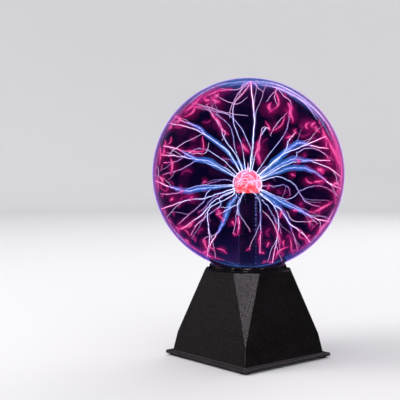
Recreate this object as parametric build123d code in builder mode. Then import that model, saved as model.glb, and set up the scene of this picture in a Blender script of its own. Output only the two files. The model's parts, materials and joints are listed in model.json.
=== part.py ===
"""Plasma ball: a glass globe with a re-entrant electrode stem on a square, tapered base.

Millimetres, +Z up. The origin is the middle of the footprint, at the bottom of the rubber feet.
The base's four sides face +X, -X, +Y and -Y; the switch and the power inlet are on +Y, the back.
"""

import os
from math import atan2, cos, degrees, hypot, radians, sin, sqrt, tan

from build123d import *

os.makedirs("parts", exist_ok=True)

# ---------------------------------------------------------------- driving dimensions
globe_radius = 100.0
globe_wall = 1.5
globe_centre_z = 192.0
neck_radius = 23.0
neck_wall = 1.8
neck_bottom_z = 64.0
neck_blend = 3.0

stem_radius = 14.3
stem_wall = 1.5
stem_ball_radius = 15.5
stem_ball_z = 181.2
stem_blend = 4.0
stem_foot_blend = 5.0
stem_flare_thickness = 2.0
wool_bottom_z = 172.6
liner_radius = 10.0
liner_wall = 1.5
liner_rib_pitch = 2.2
liner_rib_depth = 0.5
rod_radius = 1.5

foot_height = 2.0
foot_radius = 6.0
foot_offset = 54.0
foot_recess = 0.6
plate_half = 62.0
plate_thickness = 3.0
shell_bottom_half = 56.1
shell_top_half = 40.6
shell_height = 87.7
shell_wall = 2.5
facet_start_height = 18.2
facet_top_leg = 18.6
collar_radius = 41.0
collar_height = 5.8
gasket_thickness = 1.0

board_size_x = 76.0
board_size_y = 56.0
board_centre_y = -8.0
board_thickness = 1.6
standoff_height = 8.0

rocker_tilt = 11.0
running_clearance = 0.05

# ---------------------------------------------------------------- heights that follow
plate_bottom_z = foot_height
plate_top_z = plate_bottom_z + plate_thickness
shell_bottom_z = plate_top_z
shell_top_z = shell_bottom_z + shell_height
shell_inner_top_z = shell_top_z - shell_wall
board_bottom_z = plate_top_z + standoff_height
board_top_z = board_bottom_z + board_thickness


def finish_piece(builder, name):
    """Labels a finished piece and writes it under its node name."""
    builder.part.label = name
    export_step(builder.part, f"parts/{name}.step")


def shell_half_at(z):
    """Half the width of the base shell's outside at height z."""
    return shell_bottom_half - (shell_bottom_half - shell_top_half) * (z - shell_bottom_z) / shell_height


def ball_with_neck(sketch, ball_radius, ball_z, neck_r, bottom_z, blend):
    """Draws, in the open sketch, half the section of a ball with a neck below it."""
    with Locations((0, ball_z)):
        Circle(ball_radius)
    with Locations((0, (ball_z + bottom_z) / 2)):
        Rectangle(2 * neck_r, ball_z - bottom_z)
    fillet(sketch.vertices().group_by(Axis.Y)[1], radius=blend)
    top_z = ball_z + ball_radius
    with Locations((ball_radius, (top_z + bottom_z) / 2)):
        Rectangle(2 * ball_radius, top_z - bottom_z, mode=Mode.INTERSECT)


def wire(name, points, radius):
    """Writes an insulated wire along straight runs joined by tangent arcs."""
    bends = []
    for before, here, after in zip(points, points[1:], points[2:]):
        arriving = Vector(*here) - Vector(*before)
        leaving = Vector(*after) - Vector(*here)
        half_turn = radians(arriving.get_angle(leaving)) / 2
        bends.append(0.45 * min(arriving.length, leaving.length) / tan(half_turn))
    with BuildPart() as piece:
        with BuildLine():
            route = FilletPolyline(*points, radius=bends)
        with BuildSketch(Plane(origin=route @ 0, z_dir=route % 0)):
            Circle(radius)
        sweep()
    print(name, "radii", [round(b, 1) for b in bends], "length", round(route.length, 1))
    finish_piece(piece, name)


# ================================================================ glass
with BuildPart() as globe_glass:
    with BuildSketch(Plane.XZ) as outside:
        ball_with_neck(outside, globe_radius, globe_centre_z, neck_radius, neck_bottom_z, neck_blend)
    revolve(axis=Axis.Z)
    with BuildSketch(Plane.XZ) as inside:
        hollow_radius = globe_radius - globe_wall
        hollow_neck = neck_radius - neck_wall
        hollow_blend = neck_blend + neck_wall
        ball_with_neck(inside, hollow_radius, globe_centre_z, hollow_neck, neck_bottom_z, hollow_blend)
    revolve(axis=Axis.Z, mode=Mode.SUBTRACT)
finish_piece(globe_glass, "globe_glass")

# The stem is a tube that reaches up into the globe, blown into a small ball at its top end.
# Its flared foot is fused to the end of the globe's neck and seals the gas in.
flare_bottom_z = neck_bottom_z - stem_flare_thickness
with BuildPart() as stem_glass:
    with BuildSketch(Plane.XZ) as outside:
        ball_with_neck(outside, stem_ball_radius, stem_ball_z, stem_radius, flare_bottom_z, stem_blend)
    revolve(axis=Axis.Z)
    with BuildSketch(Plane.XY.offset(flare_bottom_z)):
        Circle(neck_radius)
    extrude(amount=stem_flare_thickness)
    tube_foot = stem_glass.edges().filter_by(GeomType.CIRCLE).filter_by(
        lambda edge: abs(edge.radius - stem_radius) < 0.01 and abs(edge.center().Z - neck_bottom_z) < 0.01
    )
    fillet(tube_foot, radius=stem_foot_blend)
    with BuildSketch(Plane.XZ) as inside:
        hollow_ball = stem_ball_radius - stem_wall
        hollow_tube = stem_radius - stem_wall
        hollow_blend = stem_blend + stem_wall
        ball_with_neck(inside, hollow_ball, stem_ball_z, hollow_tube, flare_bottom_z, hollow_blend)
    revolve(axis=Axis.Z, mode=Mode.SUBTRACT)
finish_piece(stem_glass, "stem_glass")

# The sealed-off stub of the tube that the globe was pumped and filled through.
exhaust_offset = 18.6
exhaust_radius = 2.2
exhaust_length = 9.0
with BuildPart() as exhaust_tip:
    with BuildSketch(Plane.XY.offset(flare_bottom_z)):
        with Locations((exhaust_offset, 0)):
            Circle(exhaust_radius)
    extrude(amount=-exhaust_length)
    fillet(exhaust_tip.faces().sort_by(Axis.Z)[0].edges(), radius=exhaust_radius - 0.3)
finish_piece(exhaust_tip, "exhaust_tip")

# ================================================================ electrode, inside the stem
wool_gap = 0.2
wool_blend = 3.0
rod_top_z = stem_ball_z
with BuildPart() as electrode_filling:
    with BuildSketch(Plane.XZ) as ball:
        wool_radius = stem_ball_radius - stem_wall - wool_gap
        wool_neck_radius = stem_radius - stem_wall - wool_gap
        ball_with_neck(ball, wool_radius, stem_ball_z, wool_neck_radius, wool_bottom_z, wool_blend)
    revolve(axis=Axis.Z)
    with BuildSketch(Plane.XY.offset(wool_bottom_z)):
        Circle(rod_radius)
    extrude(amount=rod_top_z - wool_bottom_z, mode=Mode.SUBTRACT)
finish_piece(electrode_filling, "electrode_filling")

bung_flange_bottom_z = flare_bottom_z - 4.0
bung_top_z = flare_bottom_z + 8.0
liner_length = wool_bottom_z - bung_top_z
rib_count = int(liner_length / liner_rib_pitch)
with BuildPart() as stem_liner:
    with BuildSketch(Plane.XZ):
        with BuildLine():
            ribbed_edge = []
            for rib in range(rib_count):
                rib_z = bung_top_z + rib * liner_rib_pitch
                ribbed_edge.append((liner_radius, rib_z))
                ribbed_edge.append((liner_radius, rib_z + liner_rib_pitch / 2))
                ribbed_edge.append((liner_radius - liner_rib_depth, rib_z + 0.6 * liner_rib_pitch))
                ribbed_edge.append((liner_radius - liner_rib_depth, rib_z + 0.9 * liner_rib_pitch))
            ribbed_edge.append((liner_radius, bung_top_z + rib_count * liner_rib_pitch))
            ribbed_edge.append((liner_radius, wool_bottom_z))
            Polyline(
                *ribbed_edge,
                (liner_radius - liner_wall, wool_bottom_z),
                (liner_radius - liner_wall, bung_top_z),
                close=True,
            )
        make_face()
    revolve(axis=Axis.Z)
finish_piece(stem_liner, "stem_liner")

rod_bottom_z = 50.0
with BuildPart() as electrode_rod:
    with BuildSketch(Plane.XY.offset(rod_bottom_z)):
        Circle(rod_radius)
    extrude(amount=rod_top_z - rod_bottom_z)
    chamfer(electrode_rod.edges().group_by(Axis.Z)[-1], length=0.4)
finish_piece(electrode_rod, "electrode_rod")

# A silicone bung plugs the stem's open foot and centres the rod and the liner.
with BuildPart() as stem_bung:
    with BuildSketch(Plane.XY.offset(bung_flange_bottom_z)):
        Circle(stem_radius + 1.5)
    extrude(amount=flare_bottom_z - bung_flange_bottom_z)
    with BuildSketch(Plane.XY.offset(flare_bottom_z)):
        Circle(stem_radius - stem_wall - wool_gap)
    extrude(amount=bung_top_z - flare_bottom_z)
    fillet(stem_bung.edges().group_by(Axis.Z)[0], radius=1.0)
    with BuildSketch(Plane.XY.offset(bung_flange_bottom_z)):
        Circle(rod_radius)
    extrude(amount=bung_top_z - bung_flange_bottom_z, mode=Mode.SUBTRACT)
finish_piece(stem_bung, "stem_bung")

lead_collar_radius = 3.4
with BuildPart() as lead_terminal:
    with BuildSketch(Plane.XY.offset(rod_bottom_z)):
        Circle(lead_collar_radius)
        Circle(rod_radius, mode=Mode.SUBTRACT)
    extrude(amount=bung_flange_bottom_z - rod_bottom_z - 1.0)
    chamfer(lead_terminal.edges().group_by(Axis.Z)[-1].sort_by(SortBy.RADIUS)[-1], length=0.5)
finish_piece(lead_terminal, "lead_terminal")

# ================================================================ base shell
# The sides lean in by face_lean; the corner facets start at a point and widen to the top.
face_lean = degrees(atan2(shell_bottom_half - shell_top_half, shell_height))
facet_start_z = shell_bottom_z + facet_start_height
facet_foot_reach = shell_half_at(facet_start_z) * sqrt(2)
facet_top_reach = (shell_top_half - facet_top_leg / 2) * sqrt(2)
facet_lean = degrees(atan2(facet_foot_reach - facet_top_reach, shell_top_z - facet_start_z))

neck_hole_radius = 27.5
shell_edge_radius = 0.9
shell_boss_offset = 47.0
shell_boss_radius = 4.0
shell_boss_height = 21.0
pilot_radius = 1.25
bottom_pilot_depth = 12.0
collar_screw_circle = 33.0
collar_boss_radius = 3.8
clamp_top_z = shell_inner_top_z - 5.2
clearance_radius = 1.7

# The back face carries the switch and the inlet. On these planes local Y climbs the face
# and local Z points out of it.
lean_cos = cos(radians(face_lean))
lean_sin = sin(radians(face_lean))


def back_face_plane(x, z):
    """Plane on the back face at the given place."""
    return Plane(origin=(x, shell_half_at(z), z), x_dir=(-1, 0, 0), z_dir=(0, lean_cos, lean_sin))


switch_plane = back_face_plane(24.0, 34.0)
inlet_plane = back_face_plane(-24.0, 26.0)
switch_cutout_x = 13.0
switch_cutout_y = 19.2
inlet_hole_radius = 4.5

with BuildPart() as base_shell:
    with BuildSketch(Plane.XY.offset(shell_bottom_z)):
        Rectangle(2 * shell_bottom_half, 2 * shell_bottom_half)
    with BuildSketch(Plane.XY.offset(shell_top_z)):
        Rectangle(2 * shell_top_half, 2 * shell_top_half)
    loft()
    for quarter in range(4):
        facing = radians(45 + 90 * quarter)
        facet_foot = (facet_foot_reach * cos(facing), facet_foot_reach * sin(facing), facet_start_z)
        outward = (
            cos(facing) * cos(radians(facet_lean)),
            sin(facing) * cos(radians(facet_lean)),
            sin(radians(facet_lean)),
        )
        split(bisect_by=Plane(origin=facet_foot, z_dir=outward), keep=Keep.BOTTOM)
    offset(amount=-shell_wall, openings=base_shell.faces().sort_by(Axis.Z)[0])
    outer_edges = base_shell.edges().filter_by(
        lambda edge: max(abs(edge.center().X), abs(edge.center().Y)) > shell_half_at(edge.center().Z) - 0.1
        or hypot(edge.center().X, edge.center().Y) > facet_top_reach
        and edge.center().Z > shell_top_z - 0.01
    )
    softened_edges = outer_edges.filter_by(lambda edge: edge.center().Z > shell_bottom_z + 1)
    fillet(softened_edges, radius=shell_edge_radius)
    # bosses that the bottom plate is screwed to, joined to the corners near their tops
    with BuildSketch(Plane.XY.offset(shell_bottom_z)):
        with GridLocations(2 * shell_boss_offset, 2 * shell_boss_offset, 2, 2):
            Circle(shell_boss_radius)
    extrude(amount=shell_boss_height)
    with BuildSketch(Plane.XY.offset(shell_bottom_z)):
        with GridLocations(2 * shell_boss_offset, 2 * shell_boss_offset, 2, 2):
            Circle(pilot_radius)
    extrude(amount=bottom_pilot_depth, mode=Mode.SUBTRACT)
    # bosses under the top for the collar's screws
    with BuildSketch(Plane.XY.offset(clamp_top_z)):
        with PolarLocations(collar_screw_circle, 3, start_angle=90):
            Circle(collar_boss_radius)
    extrude(amount=shell_top_z - clamp_top_z)
    with BuildSketch(Plane.XY.offset(clamp_top_z)):
        Circle(neck_hole_radius)
        with PolarLocations(collar_screw_circle, 3, start_angle=90):
            Circle(clearance_radius)
    extrude(amount=shell_top_z - clamp_top_z, mode=Mode.SUBTRACT)
    with BuildSketch(switch_plane):
        Rectangle(switch_cutout_x, switch_cutout_y)
    with BuildSketch(inlet_plane):
        Circle(inlet_hole_radius)
    extrude(amount=-2 * shell_wall, mode=Mode.SUBTRACT)
finish_piece(base_shell, "base_shell")

# ================================================================ collar and neck seat
seat_radius = globe_radius + gasket_thickness
collar_inner_radius = 25.0
collar_top_radius = 36.2
collar_bead_radius = 40.2
collar_step_height = 2.3
collar_top_z = shell_top_z + collar_height


def sphere_z(radius_of_sphere, r):
    """Height of the lower half of a sphere about the globe's centre, at radius r."""
    return globe_centre_z - sqrt(radius_of_sphere**2 - r**2)


with BuildPart() as collar_ring:
    with BuildSketch(Plane.XZ) as collar_section:
        with BuildLine():
            seat_start = (collar_inner_radius, sphere_z(seat_radius, collar_inner_radius))
            seat_end = (collar_top_radius, sphere_z(seat_radius, collar_top_radius))
            RadiusArc(seat_start, seat_end, -seat_radius)
            Polyline(
                seat_end,
                (collar_top_radius, collar_top_z),
                (collar_bead_radius, collar_top_z),
                (collar_bead_radius, shell_top_z + collar_step_height),
                (collar_radius, shell_top_z + collar_step_height),
                (collar_radius, shell_top_z),
                (collar_inner_radius, shell_top_z),
                seat_start,
            )
        make_face()
        bead_corner = collar_section.vertices().sort_by_distance((collar_bead_radius, collar_top_z))[0]
        fillet(bead_corner, radius=2.2)
        lip_corner = collar_section.vertices().sort_by_distance((collar_top_radius, collar_top_z))[0]
        fillet(lip_corner, radius=0.6)
        step_place = (collar_radius, shell_top_z + collar_step_height)
        step_corner = collar_section.vertices().sort_by_distance(step_place)[0]
        fillet(step_corner, radius=0.7)
    revolve(axis=Axis.Z)
    with BuildSketch(Plane.XY.offset(shell_top_z)):
        with PolarLocations(collar_screw_circle, 3, start_angle=90):
            Circle(pilot_radius)
    extrude(amount=2.8, mode=Mode.SUBTRACT)
finish_piece(collar_ring, "collar_ring")

gasket_inner_radius = 28.5
gasket_outer_radius = 35.8
with BuildPart() as globe_gasket:
    with BuildSketch(Plane.XZ):
        with BuildLine():
            lower_start = (gasket_inner_radius, sphere_z(seat_radius, gasket_inner_radius))
            lower_end = (gasket_outer_radius, sphere_z(seat_radius, gasket_outer_radius))
            upper_start = (gasket_inner_radius, sphere_z(globe_radius, gasket_inner_radius))
            upper_end = (gasket_outer_radius, sphere_z(globe_radius, gasket_outer_radius))
            RadiusArc(lower_start, lower_end, -seat_radius)
            Line(lower_end, upper_end)
            RadiusArc(upper_start, upper_end, -globe_radius)
            Line(upper_start, lower_start)
        make_face()
    revolve(axis=Axis.Z)
finish_piece(globe_gasket, "globe_gasket")

# A rubber bush grips the neck in the shell's hole; a clamp plate under it squeezes it.
with BuildPart() as neck_bush:
    with BuildSketch(Plane.XY.offset(clamp_top_z)):
        Circle(neck_hole_radius - 0.2)
        Circle(neck_radius, mode=Mode.SUBTRACT)
    extrude(amount=shell_top_z - 1.4 - clamp_top_z)
    chamfer(neck_bush.edges().group_by(Axis.Z)[-1].sort_by(SortBy.RADIUS)[-1], length=1.0)
finish_piece(neck_bush, "neck_bush")

clamp_thickness = 3.0
clamp_radius = 30.0
clamp_ear_radius = 5.0
with BuildPart() as neck_clamp:
    with BuildSketch(Plane.XY.offset(clamp_top_z - clamp_thickness)) as clamp_outline:
        Circle(clamp_radius)
        with PolarLocations(collar_screw_circle, 3, start_angle=90):
            Circle(clamp_ear_radius)
        inward_corners = clamp_outline.vertices().filter_by(
            lambda vertex: abs(hypot(vertex.X, vertex.Y) - clamp_radius) < 0.5 and abs(vertex.Y) > 0.01
        )
        fillet(inward_corners, radius=2.0)
        Circle(neck_radius + 0.6, mode=Mode.SUBTRACT)
        with PolarLocations(collar_screw_circle, 3, start_angle=90):
            Circle(clearance_radius, mode=Mode.SUBTRACT)
    extrude(amount=clamp_thickness)
finish_piece(neck_clamp, "neck_clamp")

screw_head_radius = 2.8
screw_head_height = 2.0
cross_length = 3.2
cross_width = 0.8
cross_depth = 1.2
collar_screw_reach = shell_top_z + 2.5
clamp_bottom_z = clamp_top_z - clamp_thickness
with BuildPart() as collar_screws:
    with BuildSketch(Plane.XY.offset(clamp_bottom_z - screw_head_height)):
        with PolarLocations(collar_screw_circle, 3, start_angle=90):
            Circle(screw_head_radius)
    extrude(amount=screw_head_height)
    fillet(collar_screws.edges().group_by(Axis.Z)[0], radius=0.8)
    with BuildSketch(Plane.XY.offset(clamp_bottom_z)):
        with PolarLocations(collar_screw_circle, 3, start_angle=90):
            Circle(pilot_radius)
    extrude(amount=collar_screw_reach - clamp_bottom_z)
    with BuildSketch(Plane.XY.offset(clamp_bottom_z - screw_head_height)):
        with PolarLocations(collar_screw_circle, 3, start_angle=90):
            Rectangle(cross_length, cross_width)
            Rectangle(cross_width, cross_length)
    extrude(amount=cross_depth, mode=Mode.SUBTRACT)
finish_piece(collar_screws, "collar_screws")

# ================================================================ bottom plate, feet and screws
plate_corner_radius = 2.5
rim_half = 52.6
rim_thickness = 1.6
rim_height = 3.0
vent_length = 26.0
vent_width = 2.6
vent_pitch = 6.5
standoff_offset_x = 33.0
standoff_offset_y = 23.0
with BuildPart() as bottom_plate:
    with BuildSketch(Plane.XY.offset(plate_bottom_z)):
        RectangleRounded(2 * plate_half, 2 * plate_half, plate_corner_radius)
    extrude(amount=plate_thickness)
    fillet(bottom_plate.faces().sort_by(Axis.Z)[-1].edges(), radius=0.8)
    fillet(bottom_plate.faces().sort_by(Axis.Z)[0].edges(), radius=0.5)
    with BuildSketch(Plane.XY.offset(plate_top_z)):
        Rectangle(2 * rim_half, 2 * rim_half)
        Rectangle(2 * (rim_half - rim_thickness), 2 * (rim_half - rim_thickness), mode=Mode.SUBTRACT)
        with GridLocations(2 * shell_boss_offset, 2 * shell_boss_offset, 2, 2):
            Circle(shell_boss_radius + 0.5, mode=Mode.SUBTRACT)
        with GridLocations(2 * rim_half, 2 * rim_half, 2, 2):
            Rectangle(12.0, 12.0, mode=Mode.SUBTRACT)
    extrude(amount=rim_height)
    with BuildSketch(Plane.XY.offset(plate_bottom_z)):
        with GridLocations(2 * foot_offset, 2 * foot_offset, 2, 2):
            Circle(foot_radius + 0.2)
    extrude(amount=foot_recess, mode=Mode.SUBTRACT)
    with BuildSketch(Plane.XY.offset(plate_bottom_z)):
        with GridLocations(vent_length + 6.0, vent_pitch, 2, 7):
            SlotOverall(vent_length, vent_width)
    extrude(amount=plate_thickness, mode=Mode.SUBTRACT)
    with Locations(Plane(origin=(0, 0, plate_bottom_z), x_dir=(1, 0, 0), z_dir=(0, 0, -1))):
        with GridLocations(2 * shell_boss_offset, 2 * shell_boss_offset, 2, 2):
            CounterSinkHole(clearance_radius, 3.3, depth=plate_thickness, counter_sink_angle=90)
finish_piece(bottom_plate, "bottom_plate")

with BuildPart() as rubber_feet:
    with BuildSketch(Plane.XY):
        with GridLocations(2 * foot_offset, 2 * foot_offset, 2, 2):
            Circle(foot_radius)
    extrude(amount=foot_height + foot_recess)
    chamfer(rubber_feet.edges().group_by(Axis.Z)[0], length=0.6)
finish_piece(rubber_feet, "rubber_feet")

bottom_screw_length = 12.0
countersunk_head_radius = 3.0
with BuildPart() as bottom_screws:
    with BuildSketch(Plane.XY.offset(plate_bottom_z)):
        with GridLocations(2 * shell_boss_offset, 2 * shell_boss_offset, 2, 2):
            Circle(countersunk_head_radius)
    extrude(amount=countersunk_head_radius - pilot_radius, taper=45)
    with BuildSketch(Plane.XY.offset(plate_bottom_z)):
        with GridLocations(2 * shell_boss_offset, 2 * shell_boss_offset, 2, 2):
            Circle(pilot_radius)
    extrude(amount=bottom_screw_length)
    with BuildSketch(Plane.XY.offset(plate_bottom_z)):
        with GridLocations(2 * shell_boss_offset, 2 * shell_boss_offset, 2, 2):
            Rectangle(cross_length, cross_width)
            Rectangle(cross_width, cross_length)
    extrude(amount=cross_depth, mode=Mode.SUBTRACT)
finish_piece(bottom_screws, "bottom_screws")

# ================================================================ rocker switch
bezel_x = 15.0
bezel_y = 21.0
bezel_height = 1.8
switch_body_x = 12.8
switch_body_y = 19.0
switch_depth = 13.0
well_x = 10.6
well_y = 16.8
well_depth = 6.2
pivot_depth = 0.5
trunnion_radius = 1.2
trunnion_reach = 6.1
with BuildPart() as switch_body:
    with BuildSketch(switch_plane):
        RectangleRounded(bezel_x, bezel_y, 1.2)
    extrude(amount=bezel_height)
    fillet(switch_body.faces().sort_by(Axis.Y)[-1].edges(), radius=0.6)
    with BuildSketch(switch_plane):
        Rectangle(switch_body_x, switch_body_y)
    extrude(amount=-switch_depth)
    with BuildSketch(switch_plane.offset(bezel_height)):
        Rectangle(well_x, well_y)
    extrude(amount=-bezel_height - well_depth, mode=Mode.SUBTRACT)
    with BuildSketch(Plane(origin=switch_plane.from_local_coords((0, 0, -pivot_depth)), z_dir=(1, 0, 0))):
        Circle(trunnion_radius + running_clearance)
    extrude(amount=switch_body_x, both=True, mode=Mode.SUBTRACT)
finish_piece(switch_body, "switch_body")

# The rocker stands at "on": its upper half is pressed in. It turns about its trunnions.
rocker_pivot = switch_plane.from_local_coords((0, 0, -pivot_depth))
rocker_lean = radians(face_lean + rocker_tilt)
rocker_plane = Plane(origin=rocker_pivot, x_dir=(0, -sin(rocker_lean), cos(rocker_lean)), z_dir=(-1, 0, 0))
rocker_width = 10.2
rocker_end_radius = 8.15
rocker_crown = 3.0
rocker_keel = -4.0
rocker_skirt = -2.8
rocker_reach = 9.0
rocker_rise = rocker_crown + rocker_reach * tan(radians(rocker_tilt))
with BuildPart() as switch_rocker:
    with BuildSketch(rocker_plane):
        Circle(rocker_end_radius)
        with BuildLine():
            Polyline(
                (0, rocker_crown),
                (rocker_reach, rocker_rise),
                (rocker_reach, rocker_skirt),
                (0, rocker_keel),
                (-rocker_reach, rocker_skirt),
                (-rocker_reach, rocker_rise),
                close=True,
            )
        make_face(mode=Mode.INTERSECT)
    extrude(amount=rocker_width / 2, both=True)
    side_faces = switch_rocker.faces().sort_by(Axis.X)
    side_edges = side_faces[0].edges() + side_faces[-1].edges()
    fillet(side_edges.filter_by(lambda edge: edge.center().Y > rocker_pivot.Y + 2), radius=0.4)
    with BuildSketch(rocker_plane):
        Circle(trunnion_radius)
    extrude(amount=trunnion_reach, both=True)
finish_piece(switch_rocker, "switch_rocker")

switch_blade_length = 7.0
with BuildPart() as switch_terminals:
    with BuildSketch(switch_plane.offset(-switch_depth)):
        with GridLocations(0, 8.0, 1, 2):
            Rectangle(4.8, 0.8)
    extrude(amount=-switch_blade_length)
finish_piece(switch_terminals, "switch_terminals")

# ================================================================ power inlet
inlet_flange_radius = 6.2
inlet_flange_height = 1.6
inlet_barrel_radius = 4.4
inlet_depth = 11.0
socket_radius = 2.75
socket_floor = -8.0
inlet_pin_radius = 1.0
with BuildPart() as dc_jack:
    with BuildSketch(inlet_plane):
        Circle(inlet_flange_radius)
    extrude(amount=inlet_flange_height)
    fillet(dc_jack.faces().sort_by(Axis.Y)[-1].edges(), radius=0.6)
    with BuildSketch(inlet_plane):
        Circle(inlet_barrel_radius)
    extrude(amount=-inlet_depth)
    with BuildSketch(inlet_plane.offset(inlet_flange_height)):
        Circle(socket_radius)
    extrude(amount=socket_floor - inlet_flange_height, mode=Mode.SUBTRACT)
finish_piece(dc_jack, "dc_jack")

with BuildPart() as dc_jack_pin:
    with BuildSketch(inlet_plane.offset(socket_floor)):
        Circle(inlet_pin_radius)
    extrude(amount=-socket_floor)
    fillet(dc_jack_pin.edges().sort_by(Axis.Y)[-1], radius=0.6)
finish_piece(dc_jack_pin, "dc_jack_pin")

nut_thickness = 2.4
with BuildPart() as dc_jack_nut:
    with BuildSketch(inlet_plane.offset(-shell_wall)):
        RegularPolygon(6.4, 6)
        Circle(inlet_barrel_radius, mode=Mode.SUBTRACT)
    extrude(amount=-nut_thickness)
finish_piece(dc_jack_nut, "dc_jack_nut")

inlet_blade_length = 5.0
with BuildPart() as dc_jack_terminals:
    with BuildSketch(inlet_plane.offset(-inlet_depth)):
        with GridLocations(4.4, 0, 2, 1):
            Rectangle(0.6, 2.4)
    extrude(amount=-inlet_blade_length)
finish_piece(dc_jack_terminals, "dc_jack_terminals")

# ================================================================ driver board
standoff_radius = 3.0
with BuildPart() as board_standoffs:
    with BuildSketch(Plane.XY.offset(plate_top_z)):
        with Locations((0, board_centre_y)):
            with GridLocations(2 * standoff_offset_x, 2 * standoff_offset_y, 2, 2):
                RegularPolygon(standoff_radius, 6)
                Circle(pilot_radius, mode=Mode.SUBTRACT)
    extrude(amount=standoff_height)
finish_piece(board_standoffs, "board_standoffs")

with BuildPart() as driver_board:
    with BuildSketch(Plane.XY.offset(board_bottom_z)):
        with Locations((0, board_centre_y)):
            RectangleRounded(board_size_x, board_size_y, 2.0)
            with GridLocations(2 * standoff_offset_x, 2 * standoff_offset_y, 2, 2):
                Circle(clearance_radius, mode=Mode.SUBTRACT)
    extrude(amount=board_thickness)
finish_piece(driver_board, "driver_board")

board_screw_length = 7.0
with BuildPart() as board_screws:
    with BuildSketch(Plane.XY.offset(board_top_z)):
        with Locations((0, board_centre_y)):
            with GridLocations(2 * standoff_offset_x, 2 * standoff_offset_y, 2, 2):
                Circle(screw_head_radius)
    extrude(amount=screw_head_height)
    fillet(board_screws.edges().group_by(Axis.Z)[-1], radius=0.8)
    with BuildSketch(Plane.XY.offset(board_top_z)):
        with Locations((0, board_centre_y)):
            with GridLocations(2 * standoff_offset_x, 2 * standoff_offset_y, 2, 2):
                Circle(pilot_radius)
    extrude(amount=-board_screw_length)
finish_piece(board_screws, "board_screws")

# ---------------------------------------------------------------- high-voltage transformer
# A rectangular ferrite frame stands on edge; the coil sits on its outer leg.
coil_x = -26.0
transformer_y = -16.0
core_width = 26.0
core_height = 28.0
core_depth = 8.0
core_leg = 6.0
core_centre_x = coil_x + (core_width - core_leg) / 2
core_centre_z = board_top_z + core_height / 2
with BuildPart() as transformer_core:
    with BuildSketch(Plane.XZ.offset(-transformer_y)):
        with Locations((core_centre_x, core_centre_z)):
            Rectangle(core_width, core_height)
            Rectangle(core_width - 2 * core_leg, core_height - 2 * core_leg, mode=Mode.SUBTRACT)
    extrude(amount=core_depth / 2, both=True)
    outer_corners = transformer_core.edges().filter_by(Axis.Y).filter_by(
        lambda edge: abs(edge.center().X - core_centre_x) > core_width / 2 - 0.1
    )
    chamfer(outer_corners, length=0.5)
finish_piece(transformer_core, "transformer_core")

bobbin_bore_radius = 5.1
bobbin_tube_radius = 6.0
bobbin_flange_radius = 10.0
bobbin_flange_thickness = 1.2
coil_radius = 9.4
coil_height = core_height - 2 * core_leg
coil_bottom_z = board_top_z + core_leg
with BuildPart() as coil_bobbin:
    for flange_z in (coil_bottom_z, coil_bottom_z + coil_height - bobbin_flange_thickness):
        with BuildSketch(Plane.XY.offset(flange_z)):
            with Locations((coil_x, transformer_y)):
                Circle(bobbin_flange_radius)
        extrude(amount=bobbin_flange_thickness)
    with BuildSketch(Plane.XY.offset(coil_bottom_z)):
        with Locations((coil_x, transformer_y)):
            Circle(bobbin_tube_radius)
    extrude(amount=coil_height)
    with BuildSketch(Plane.XY.offset(coil_bottom_z)):
        with Locations((coil_x, transformer_y)):
            Circle(bobbin_bore_radius)
    extrude(amount=coil_height, mode=Mode.SUBTRACT)
finish_piece(coil_bobbin, "coil_bobbin")

with BuildPart() as transformer_coil:
    with BuildSketch(Plane.XY.offset(coil_bottom_z + bobbin_flange_thickness)):
        with Locations((coil_x, transformer_y)):
            Circle(coil_radius)
            Circle(bobbin_tube_radius, mode=Mode.SUBTRACT)
    extrude(amount=coil_height - 2 * bobbin_flange_thickness)
finish_piece(transformer_coil, "transformer_coil")

# ---------------------------------------------------------------- output transistor and heatsink
heatsink_x = 18.5
heatsink_face_y = -24.0
heatsink_width = 23.0
heatsink_height = 24.0
heatsink_plate = 2.5
fin_length = 7.0
fin_thickness = 1.1
fin_count = 7
tab_screw_z = board_top_z + 17.0
with BuildPart() as heatsink:
    with BuildSketch(Plane.XY.offset(board_top_z)):
        with Locations((heatsink_x, heatsink_face_y - heatsink_plate / 2)):
            Rectangle(heatsink_width, heatsink_plate)
        fin_pitch = (heatsink_width - fin_thickness) / (fin_count - 1)
        with Locations((heatsink_x, heatsink_face_y - heatsink_plate - fin_length / 2)):
            with GridLocations(fin_pitch, 0, fin_count, 1):
                Rectangle(fin_thickness, fin_length)
    extrude(amount=heatsink_height)
    with BuildSketch(Plane(origin=(heatsink_x, heatsink_face_y, tab_screw_z), z_dir=(0, 1, 0))):
        Circle(pilot_radius)
    extrude(amount=-heatsink_plate, mode=Mode.SUBTRACT)
finish_piece(heatsink, "heatsink")

pin_pitch = 2.54
transistor_width = 10.0
transistor_thickness = 4.4
transistor_height = 9.0
transistor_leg = 4.0
tab_thickness = 1.3
tab_height = 6.5
with BuildPart() as power_transistor:
    with BuildSketch(Plane.XY.offset(board_top_z + transistor_leg)):
        with Locations((heatsink_x, heatsink_face_y + transistor_thickness / 2)):
            Rectangle(transistor_width, transistor_thickness)
    extrude(amount=transistor_height)
    chamfer(power_transistor.edges().filter_by(Axis.X).sort_by(Axis.Y)[-2:], length=0.6)
    with BuildSketch(Plane.XY.offset(board_top_z + transistor_leg + transistor_height)):
        with Locations((heatsink_x, heatsink_face_y + tab_thickness / 2)):
            Rectangle(transistor_width, tab_thickness)
    extrude(amount=tab_height)
    with BuildSketch(Plane.XY.offset(board_top_z)):
        with Locations((heatsink_x, heatsink_face_y + 2.4)):
            with GridLocations(pin_pitch, 0, 3, 1):
                Rectangle(0.9, 0.5)
    extrude(amount=transistor_leg)
    with BuildSketch(Plane(origin=(heatsink_x, heatsink_face_y, tab_screw_z), z_dir=(0, 1, 0))):
        Circle(clearance_radius)
    extrude(amount=tab_thickness, mode=Mode.SUBTRACT)
finish_piece(power_transistor, "power_transistor")

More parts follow.
